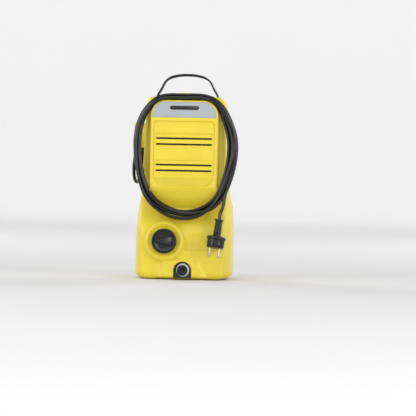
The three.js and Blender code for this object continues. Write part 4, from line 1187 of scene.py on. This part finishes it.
class WASHER_OT_plug(bpy.types.Operator):
    """Earthed mains plug with its ribbed sleeve and two pins."""

    bl_idname = "washer.plug"
    bl_label = "Mains Plug"

    def execute(self, context):
        colours = context.scene.washer_colours
        ribs = context.scene.washer_sizes.sleeve_ribs
        middle = at(0, 0, 0)
        up = (0, 0, 1)
        profile = [(0, 0.4), (3.5, 0.4), (5.0, 0.2), (8.6, 0), (9.2, -0.7), (9.2, -2.6),
                   (8.4, -3.3), (6.1, -3.6)]
        pitch = 24.0 / ribs
        for rib in range(ribs):
            z = -4.6 - rib * pitch
            grow = 0.16 * rib
            profile += [(6.0 + grow, z), (7.5 + grow, z - 0.5), (7.7 + grow, z - pitch * 0.55),
                        (6.2 + grow, z - pitch * 0.7)]
        profile += [(7.8, -30.5), (8.4, -34), (0, -36)]
        sleeve = spun("plug_sleeve", profile, middle, up, 36)
        body = spun("plug_body", [
            (0, -33), (7.5, -33), (11, -33.8), (15.5, -34.6), (18.3, -35.6), (19.3, -37),
            (19.3, -39.6), (18.5, -40.8), (17.3, -41.2), (17.4, -50), (17.0, -56),
            (16.2, -57.7), (15, -58), (0, -58)], middle, up, 72)
        for side in (-1, 1):
            start_fresh()
            bpy.ops.mesh.primitive_cube_add(size=1)
            notch = bpy.context.object
            notch.data.transform(Matrix.Diagonal((9.2 * MM, 10 * MM, 26 * MM, 1)))
            edit_all(notch)
            bpy.ops.mesh.bevel(offset=1.6 * MM, segments=3, affect="EDGES")
            close_edit()
            notch.data.transform(Matrix.Translation(at(0, side * 19.2, -54.4)))
            combine(body, notch, "DIFFERENCE")
            seat = spun("pin_seat", [(0, -60), (3.6, -60), (2.7, -57.1), (2.7, -50), (0, -50)],
                        at(side * PIN_REACH, 0, 0), up, 24)
            combine(body, seat, "DIFFERENCE")
        soften(body, 0.5, 2, 40)
        plug = joined("mains_plug_body", [body, sleeve])
        hand_over(in_plug(plug), 38, black_moulding(colours), "black_plastic", "mains_plug")
        nickel = metal("plug_pin_nickel", (0.5, 0.49, 0.46), (0.38, 0.37, 0.35), (0.28, 0.42))
        for side, node in ((-1, "plug_pin_left"), (1, "plug_pin_right")):
            pin = spun(f"{node}_turned", [
                (0, -50), (2.4, -50), (2.4, -74), (2.2, -75.1), (1.6, -75.8), (0.8, -76),
                (0, -76)], at(side * PIN_REACH, 0, 0), up, 28)
            hand_over(in_plug(pin), 40, nickel, "plug_pins", node)
        return {"FINISHED"}


class WASHER_OT_housing(bpy.types.Operator):
    """Front and rear shells with the block, slots, boss, plinth and rear grille."""

    bl_idname = "washer.housing"
    bl_label = "Housing Shells"

    def execute(self, context):
        yellow = yellow_shell(context.scene.washer_colours)
        front, rear = build_housing()
        for shell, node in ((front, "front_housing"), (rear, "rear_housing")):
            hand_over(shell, 32, yellow, "yellow_plastic", node)
        return {"FINISHED"}


class WASHER_OT_baffle(bpy.types.Operator):
    """Black baffle behind the front slots, with lips between them; its black is painted shade for
    the dark inside of the vents.
    """

    bl_idname = "washer.baffle"
    bl_label = "Vent Baffle"

    def execute(self, context):
        sheet = block_box("vent_shade_baffle", (-62, -59.5, 204), (62, -58, 300), 0.5, 2)
        for level in (216, 224, 268.5, 277.5, 289.5, 209, 237, 250):
            lip = block_box("lip", (-60, -62.6, level - 0.7), (60, -58.5, level + 0.7), 0.4, 2)
            combine(sheet, lip, "UNION")
        # The black here stands in for the shade inside the housing behind the slots.
        hand_over(sheet, 35, black_moulding(context.scene.washer_colours), "black_plastic")
        return {"FINISHED"}


class WASHER_OT_plate(bpy.types.Operator):
    """Arched grey plate with a blank badge bar."""

    bl_idname = "washer.plate"
    bl_label = "Badge Plate"

    def execute(self, context):
        colours = context.scene.washer_colours
        rings = []
        for margin, y in ((3.6, -68.9), (3.6, -69.6), (3.75, -69.82), (4.0, -69.9), (5.2, -69.9),
                          (5.45, -69.65), (5.8, -69.65), (6.05, -69.9), (6.6, -69.9)):
            rings.append(facing(plate_outline(margin), y))
        plate = grid_loft("badge_plate", rings)
        # Edge tone: rubbing and painted highlight; crease tone: dirt and painted shade.
        grey = plastic("plate_grey", colours.plate, scaled(colours.plate, 0.93), (0.3, 0.4),
                       (2400.0, 0.2, 0.00002),
                       rub_sheen_dirt_shade_tones=(scaled(colours.plate, 1.1), scaled(colours.plate, 0.8)))
        hand_over(plate, 30, grey, "label_grey", "label_plate")
        outline = arc((25, 343), 4, -90, 90, 8) + arc((-25, 343), 4, 90, 270, 8)
        bar = extruded("badge_bar", outline, -69.8, -70.5)
        soften(bar, 0.25, 2)
        hand_over(bar, 30, black_moulding(colours), "black_plastic")
        return {"FINISHED"}


class WASHER_OT_screws(bpy.types.Operator):
    """Four screws that hold the two shells together."""

    bl_idname = "washer.screws"
    bl_label = "Housing Screws"

    def execute(self, context):
        zinc = metal("screw_zinc", (0.6, 0.6, 0.6), (0.42, 0.42, 0.43), (0.25, 0.4), 2000.0)
        for number, (x, z) in enumerate(SCREWS, 1):
            screw = spun(f"shell_screw_{number}", [
                (0, -12), (0.7, -11.2), (2, -9), (2, 27.3), (3.5, 27.4), (3.8, 27.8),
                (3.8, 29), (3.3, 29.7), (2.4, 30), (0, 30)], at(x, 0, z), steps=28)
            star = []
            for point in range(12):
                radius = 2.0 if point % 2 == 0 else 1.45
                turn = math.pi * point / 6
                star.append((x + radius * math.cos(turn), z + radius * math.sin(turn)))
            combine(screw, extruded("drive", star, 28.2, 31), "DIFFERENCE")
            hand_over(screw, 35, zinc, "steel", f"housing_screw_{number}")
        return {"FINISHED"}


class WASHER_OT_feet(bpy.types.Operator):
    """Four rubber feet."""

    bl_idname = "washer.feet"
    bl_label = "Rubber Feet"

    def execute(self, context):
        rubber = black_rubber(context.scene.washer_colours)
        for node, x, y in (("foot_front_left", -55.5, -44.8), ("foot_front_right", 55.5, -44.8),
                           ("foot_rear_left", -55.5, 44), ("foot_rear_right", 55.5, 44)):
            foot = spun(f"{node}_pad", [
                (0, 0.6), (4.2, 0.6), (4.8, 0), (6.2, 0), (6.6, 0.5), (7.2, 0.5), (7.6, 0),
                (8.2, 0), (8.9, 0.6), (9, 1.4), (9, 4.2), (8.4, 4.8), (3, 4.8), (3, 8.4),
                (0, 8.4)], at(x, y, 0), (0, 0, 1), 40)
            hand_over(foot, 40, rubber, "black_rubber", node)
        return {"FINISHED"}


class WASHER_OT_strap(bpy.types.Operator):
    """Rubber carrying strap with ribbed ends and stops."""

    bl_idname = "washer.strap"
    bl_label = "Carrying Strap"

    def execute(self, context):
        ribs = context.scene.washer_sizes.strap_ribs
        right = [(64, 353.4), (62, 366), (53, 383), (44, 399), (27, 408)]
        line = [(-x, 8, z) for x, z in right] + [(0, 8, 411)] + [(x, 8, z) for x, z in right[::-1]]
        path = spline(line, 0.9)
        along = np.concatenate([[0], np.cumsum(np.linalg.norm(np.diff(path, axis=0), axis=1))])
        total = along[-1]
        rings = []
        for i, point in enumerate(path):
            ahead = path[min(i + 1, len(path) - 1)] - path[max(i - 1, 0)]
            ahead /= np.linalg.norm(ahead)
            up = np.array([-ahead[2], 0, ahead[0]])
            from_end = min(along[i], total - along[i])
            thick = 1.75 + 0.75 * float(ease(from_end, 52, 66))
            raised = 0.0
            if 17 < from_end < 17 + ribs * 3.2:
                raised = 0.8 * max(0.0, math.sin(2 * math.pi * (from_end - 17) / 3.2))
            half = 12.0 - 1.2 * float(ease(from_end, 50, 66))
            ring = []
            for turn in np.linspace(0, 2 * math.pi, 28, endpoint=False):
                c, s = math.cos(turn), math.sin(turn)
                across = math.copysign(abs(c) ** 0.28, c) * half
                height = math.copysign(abs(s) ** 0.55, s) * thick
                if s > 0.3 and abs(across) < 9.5:
                    height += raised
                ring.append(point + up * height + np.array([0, across, 0]))
            rings.append(ring)
        band = grid_loft("strap_band", rings)
        stops = [block_box("stop", (x - 6.4, -9, 350.5), (x + 6.4, 25, 356.3), 1.2)
                 for x in (-62.6, 62.6)]
        strap = joined("strap_with_stops", [band] + stops)
        hand_over(strap, 40, black_rubber(context.scene.washer_colours), "black_rubber",
                  "carry_strap", body="strap")
        return {"FINISHED"}


class WASHER_OT_holder(bpy.types.Operator):
    """Holder for the spray gun on the left side."""

    bl_idname = "washer.holder"
    bl_label = "Gun Holder"

    def execute(self, context):
        def band(shrink):
            bend = 12 - shrink
            points = [(-76, 4 + shrink)]
            points += arc((-96, 16), bend, -90, -180, 8)
            points += arc((-96, 42), bend, 180, 90, 8)
            return points + [(-76, 54 - shrink)]
        outer, inner = band(0), band(3.2)
        holder = extruded("gun_holder_band", outer + inner[::-1], 262, 313, lay="plan")
        soften(holder, 0.9, 3)
        for z in (264.5, 310.5):
            lip = extruded("lip", band(-0.9) + band(1)[::-1], z - 1.5, z + 1.5, lay="plan")
            combine(holder, soften(lip, 0.5, 2), "UNION")
        fin = extruded("fin", [(-104.5, 264), (-70, 264), (-70, 206), (-86, 214), (-92, 224)],
                       6.5, 51.5)
        soften(fin, 1.2, 3)
        combine(holder, fin, "UNION")
        cutter = body_solid("body_cut", 0.4, 0.4, (12, 4, 10, 6, 6), 8.0)
        combine(holder, cutter, "DIFFERENCE")
        hand_over(holder, 35, yellow_shell(context.scene.washer_colours), "yellow_plastic",
                  "gun_holder")
        return {"FINISHED"}


class WASHER_OT_knob(bpy.types.Operator):
    """Switch knob: a black disc with a raised wedge grip."""

    bl_idname = "washer.knob"
    bl_label = "Switch Knob"

    def execute(self, context):
        colours = context.scene.washer_colours
        x, z = KNOB
        disc = spun("knob_disc", [
            (0, -71.4), (24.2, -71.4), (25, -72), (25, -79.2), (24.6, -80.5), (23.7, -81.3),
            (22.6, -81.5), (21.9, -81.3), (21.4, -80.6), (21.0, -79.7), (20.3, -79.3),
            (12, -79.0), (0, -79.0)], at(x, 0, z), steps=80)
        tip, heel = x - 20.4, x + 17.0
        start_fresh()
        bpy.ops.mesh.primitive_cube_add(size=1)
        grip = bpy.context.object
        grip.name = "knob_grip"
        for vertex in grip.data.vertices:
            far = vertex.co.x > 0
            proud = vertex.co.y < 0
            half = (11.2 if far else 2.6) - (1.6 if proud else 0)
            end = (heel - (1.5 if proud else 0)) if far else (tip + (1.0 if proud else 0))
            level = (-82.0 if far else -86.0) if proud else -78.4
            vertex.co = at(end, level, z + math.copysign(half, vertex.co.z))
        edit_all(grip)
        bpy.ops.mesh.normals_make_consistent(inside=False)
        bpy.ops.mesh.bevel(offset=1.1 * MM, segments=4, affect="EDGES")
        close_edit()
        combine(disc, grip, "UNION")
        bore = spun("bore", [(0, -60), (4.3, -60), (4.3, -78), (0, -78)], at(x, 0, z), steps=24)
        combine(disc, bore, "DIFFERENCE")
        disc.name = disc.data.name = "knob_with_grip"
        # Edges 3.4 times lighter (rubbing and painted highlight), creases near black (dirt and
        # painted shade).
        gloss = plastic("knob_gloss", colours.black, scaled(colours.black, 0.7), (0.16, 0.26),
                        (2400.0, 0.25, 0.00003),
                        rub_sheen_dirt_shade_tones=(scaled(colours.black, 3.4), CREASE_DIRT_AND_SHADE_BLACK), shine=0.45)
        hand_over(disc, 34, gloss, "black_plastic", "switch_knob", body="knob")
        return {"FINISHED"}


class WASHER_OT_outlet(bpy.types.Operator):
    """Hose outlet: black surround, light grey release ring and ribbed socket."""

    bl_idname = "washer.outlet"
    bl_label = "Hose Outlet"

    def execute(self, context):
        colours = context.scene.washer_colours
        black = black_moulding(colours)
        x, z = OUTLET
        rings = []
        for margin, y in ((0, -63.8), (0, -72.6), (-0.25, -73.05), (-0.8, -73.2), (-1.3, -73.2)):
            rings.append(facing(outlet_arch(margin), y))
        bezel = grid_loft("outlet_surround", rings)
        hole = spun("hole", [(0, -72.5), (14.7, -72.5), (14.7, -55), (0, -55)], at(x, 0, z),
                    steps=64)
        combine(bezel, hole, "DIFFERENCE")
        lip = spun("lip", [(0, -80), (14.4, -80), (13.8, -73.3), (13.2, -72.8), (13.1, -72),
                           (0, -72)], at(x + 1.5, 0, z + 1.2), steps=64)
        combine(bezel, lip, "DIFFERENCE")
        hand_over(bezel, 34, black, "black_plastic", "outlet_bezel")
        ring = spun("release_collar", [
            (11.4, -62.4), (14.4, -62.4), (14.4, -71.6), (14.1, -72.2), (13.5, -72.4),
            (11.0, -72.4), (10.9, -72.2), (11.4, -71.5)], at(x, 0, z), steps=64)
        grey = plastic("collar_grey", (0.5, 0.51, 0.52), (0.43, 0.44, 0.45), (0.25, 0.38))
        hand_over(ring, 34, grey, "grey_plastic", "outlet_release_ring", body="release_ring")
        flange = -58.4
        socket = spun("hose_socket", [
            (0, -69.6), (5.4, -69.6), (6.2, -69.9), (6.5, -70.5), (7.4, -70.8), (8.2, -70.5),
            (8.5, -70.0), (9.0, -70.0), (9.3, -70.6), (10.3, -70.8), (10.8, -70.4), (11, -69.8),
            (11, flange), (13.6, flange), (13.6, flange + 4), (9, flange + 4), (9, -30.8),
            (7, -30.8), (7, -27.8), (9, -27.8), (9, -25), (0, -25)], at(x, 0, z), steps=56)
        for turn in range(6):
            angle = math.pi * turn / 3 + math.pi / 6
            rib = spun("dimple", [(0, -72), (1.3, -72), (1.1, -69.4), (0, -69.2)],
                       at(x + 7.8 * math.cos(angle), 0, z + 7.8 * math.sin(angle)), steps=12)
            combine(socket, rib, "DIFFERENCE")
        bore = block_box("bore", (x - 4, -75, z - 4), (x + 4, -50.4, z + 4), 0.5, 2)
        combine(socket, bore, "DIFFERENCE")
        hand_over(socket, 34, black, "black_plastic", "outlet_socket")
        return {"FINISHED"}


class WASHER_OT_inlet(bpy.types.Operator):
    """Threaded water inlet at the back."""

    bl_idname = "washer.inlet"
    bl_label = "Water Inlet"

    def execute(self, context):
        x, z = INLET
        profile = [(5.6, 49), (8, 49), (8, 55), (12, 55), (12, 58), (11, 58), (11, 69.5),
                   (12.6, 69.6)]
        for turn in range(4):
            y = 70.1 + turn * 1.9
            profile += [(12.2, y), (13.2, y + 0.6), (13.2, y + 0.9), (12.2, y + 1.5)]
        profile += [(11.6, 78), (8.6, 78.3), (8.4, 78.8), (8.4, 80.6), (7.6, 81.2), (7.4, 82),
                    (7.4, 83.6), (6.7, 83.9), (6.7, 84.7), (7.4, 85), (7.3, 85.7), (6.9, 86),
                    (5.9, 86), (5.6, 85.7)]
        inlet = spun("threaded_inlet", profile, at(x, 0, z), steps=56)
        hand_over(inlet, 34, black_moulding(context.scene.washer_colours), "black_plastic",
                  "water_inlet")
        return {"FINISHED"}


def stacked_steel(name, pitch):
    """Thin steel sheets pressed in a stack, seen at their edges."""
    def build(tree, shader):
        wave = add_node(tree, "ShaderNodeTexWave", {"Scale": pitch, "Distortion": 0.0},
                        bands_direction="Z", wave_profile="SAW")
        tree.links.new(object_place(tree), wave.inputs["Vector"])
        colour = mixed(tree, wave.outputs["Fac"], (0.34, 0.34, 0.35), (0.12, 0.12, 0.13))
        tree.links.new(colour, shader.inputs["Base Color"])
        tree.links.new(ranged(tree, wave.outputs["Fac"], 0, 1, 0.35, 0.6),
                       shader.inputs["Roughness"])
        bumped(tree, shader, wave.outputs["Fac"], 0.5, 0.0001)
        shader.inputs["Metallic"].default_value = 1.0
    return material_of(name, build)


def wound_copper(name):
    """Lacquered copper wire laid side by side."""
    def build(tree, shader):
        wave = add_node(tree, "ShaderNodeTexWave", {"Scale": 420.0, "Distortion": 0.8},
                        bands_direction="Z", wave_profile="SIN")
        tree.links.new(object_place(tree), wave.inputs["Vector"])
        colour = mixed(tree, wave.outputs["Fac"], (0.20, 0.06, 0.02), (0.52, 0.19, 0.07))
        tree.links.new(colour, shader.inputs["Base Color"])
        tree.links.new(ranged(tree, wave.outputs["Fac"], 0, 1, 0.5, 0.25),
                       shader.inputs["Roughness"])
        bumped(tree, shader, wave.outputs["Fac"], 0.8, 0.0004)
        shader.inputs["Metallic"].default_value = 0.9
    return material_of(name, build)


class WASHER_OT_inside(bpy.types.Operator):
    """Finishes of the pump, gears, motor and switch that stay as CAD parts."""

    bl_idname = "washer.inside"
    bl_label = "Inside Finishes"

    def execute(self, context):
        colours = context.scene.washer_colours
        steel = metal("machined_steel", (0.56, 0.57, 0.58), (0.4, 0.4, 0.41), (0.22, 0.38))
        spring = metal("spring_steel", (0.42, 0.43, 0.45), (0.3, 0.3, 0.32), (0.25, 0.36), 2600.0)
        cast = metal("cast_aluminium", (0.58, 0.59, 0.6), (0.44, 0.45, 0.46), (0.42, 0.62),
                     260.0, 0.00008)
        brass = metal("turned_brass", (0.72, 0.50, 0.22), (0.58, 0.38, 0.15), (0.2, 0.34))
        sheets = stacked_steel("stacked_sheets", 640.0)
        copper = wound_copper("wound_copper")
        bars = metal("commutator_copper", (0.72, 0.32, 0.17), (0.5, 0.2, 0.1), (0.25, 0.4), 700.0)
        carbon = plastic("brush_carbon", (0.03, 0.03, 0.032), (0.02,) * 3, (0.6, 0.8),
                         (2600.0, 0.2, 0.0001))
        white = plastic("white_nylon", (0.66, 0.65, 0.61), (0.58, 0.57, 0.53), (0.35, 0.5))
        grey = plastic("shaft_grey", (0.45, 0.46, 0.47), (0.38, 0.39, 0.4), (0.35, 0.5))
        black = black_moulding(colours)
        rubber = black_rubber(colours)
        jacket = MATERIALS["cord_jacket"]
        finishes = {
            "switch_shaft": grey, "mains_switch": black, "switch_plunger": white,
            "outlet_seal": rubber, "cylinder_head": cast, "control_piston": brass,
            "control_spring": spring, "pump_block": cast, "piston_1": steel, "piston_2": steel,
            "piston_3": steel, "piston_spring_1": spring, "piston_spring_2": spring,
            "piston_spring_3": spring, "thrust_bearing": steel, "swash_plate": steel,
            "drive_gear": steel, "pinion": steel, "swash_bearing": steel, "gear_case": cast,
            "motor_shaft": steel, "lower_bearing": steel, "upper_bearing": steel,
            "stator_core": sheets, "field_winding_left": copper, "field_winding_right": copper,
            "rotor_core": sheets, "commutator": bars, "brush_left": carbon,
            "brush_right": carbon, "motor_bridge": cast, "cooling_fan": black,
            "inlet_filter": white, "interference_capacitor": white, "switch_lead": jacket,
        }
        for name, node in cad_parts.items():
            if node.hide_render:
                continue
            if name not in finishes:
                raise RuntimeError(f"CAD node {name} has no finish")
            if not node.material_slots:
                node.data.materials.append(finishes[name])
            for slot in node.material_slots:
                slot.material = finishes[name]
        return {"FINISHED"}


class WASHER_PT_build(bpy.types.Panel):
    """Lists the build steps in the sidebar."""

    bl_idname = "WASHER_PT_build"
    bl_label = "Pressure Washer"
    bl_space_type = "VIEW_3D"
    bl_region_type = "UI"
    bl_category = "Washer"

    def draw(self, context):
        column = self.layout.column()
        for settings in (context.scene.washer_sizes, context.scene.washer_colours):
            for name in settings.__annotations__:
                column.prop(settings, name)
        for step in STEPS:
            column.operator(step.bl_idname)


STEPS = (
    WASHER_OT_studio, WASHER_OT_lead, WASHER_OT_gland, WASHER_OT_plug, WASHER_OT_housing,
    WASHER_OT_baffle, WASHER_OT_plate, WASHER_OT_screws, WASHER_OT_feet, WASHER_OT_strap,
    WASHER_OT_holder, WASHER_OT_knob, WASHER_OT_outlet, WASHER_OT_inlet, WASHER_OT_inside,
)
CLASSES = (WasherSizes, WasherColours, *STEPS, WASHER_PT_build)


def register():
    for part in CLASSES:
        bpy.utils.register_class(part)
    bpy.types.Scene.washer_sizes = bpy.props.PointerProperty(type=WasherSizes)
    bpy.types.Scene.washer_colours = bpy.props.PointerProperty(type=WasherColours)


def unregister():
    del bpy.types.Scene.washer_colours
    del bpy.types.Scene.washer_sizes
    for part in reversed(CLASSES):
        bpy.utils.unregister_class(part)


def main():
    """Builds every piece in order."""
    register()
    for step in STEPS:
        family, name = step.bl_idname.split(".")
        getattr(getattr(bpy.ops, family), name)()
    start_fresh()


if __name__ == "__main__":
    main()
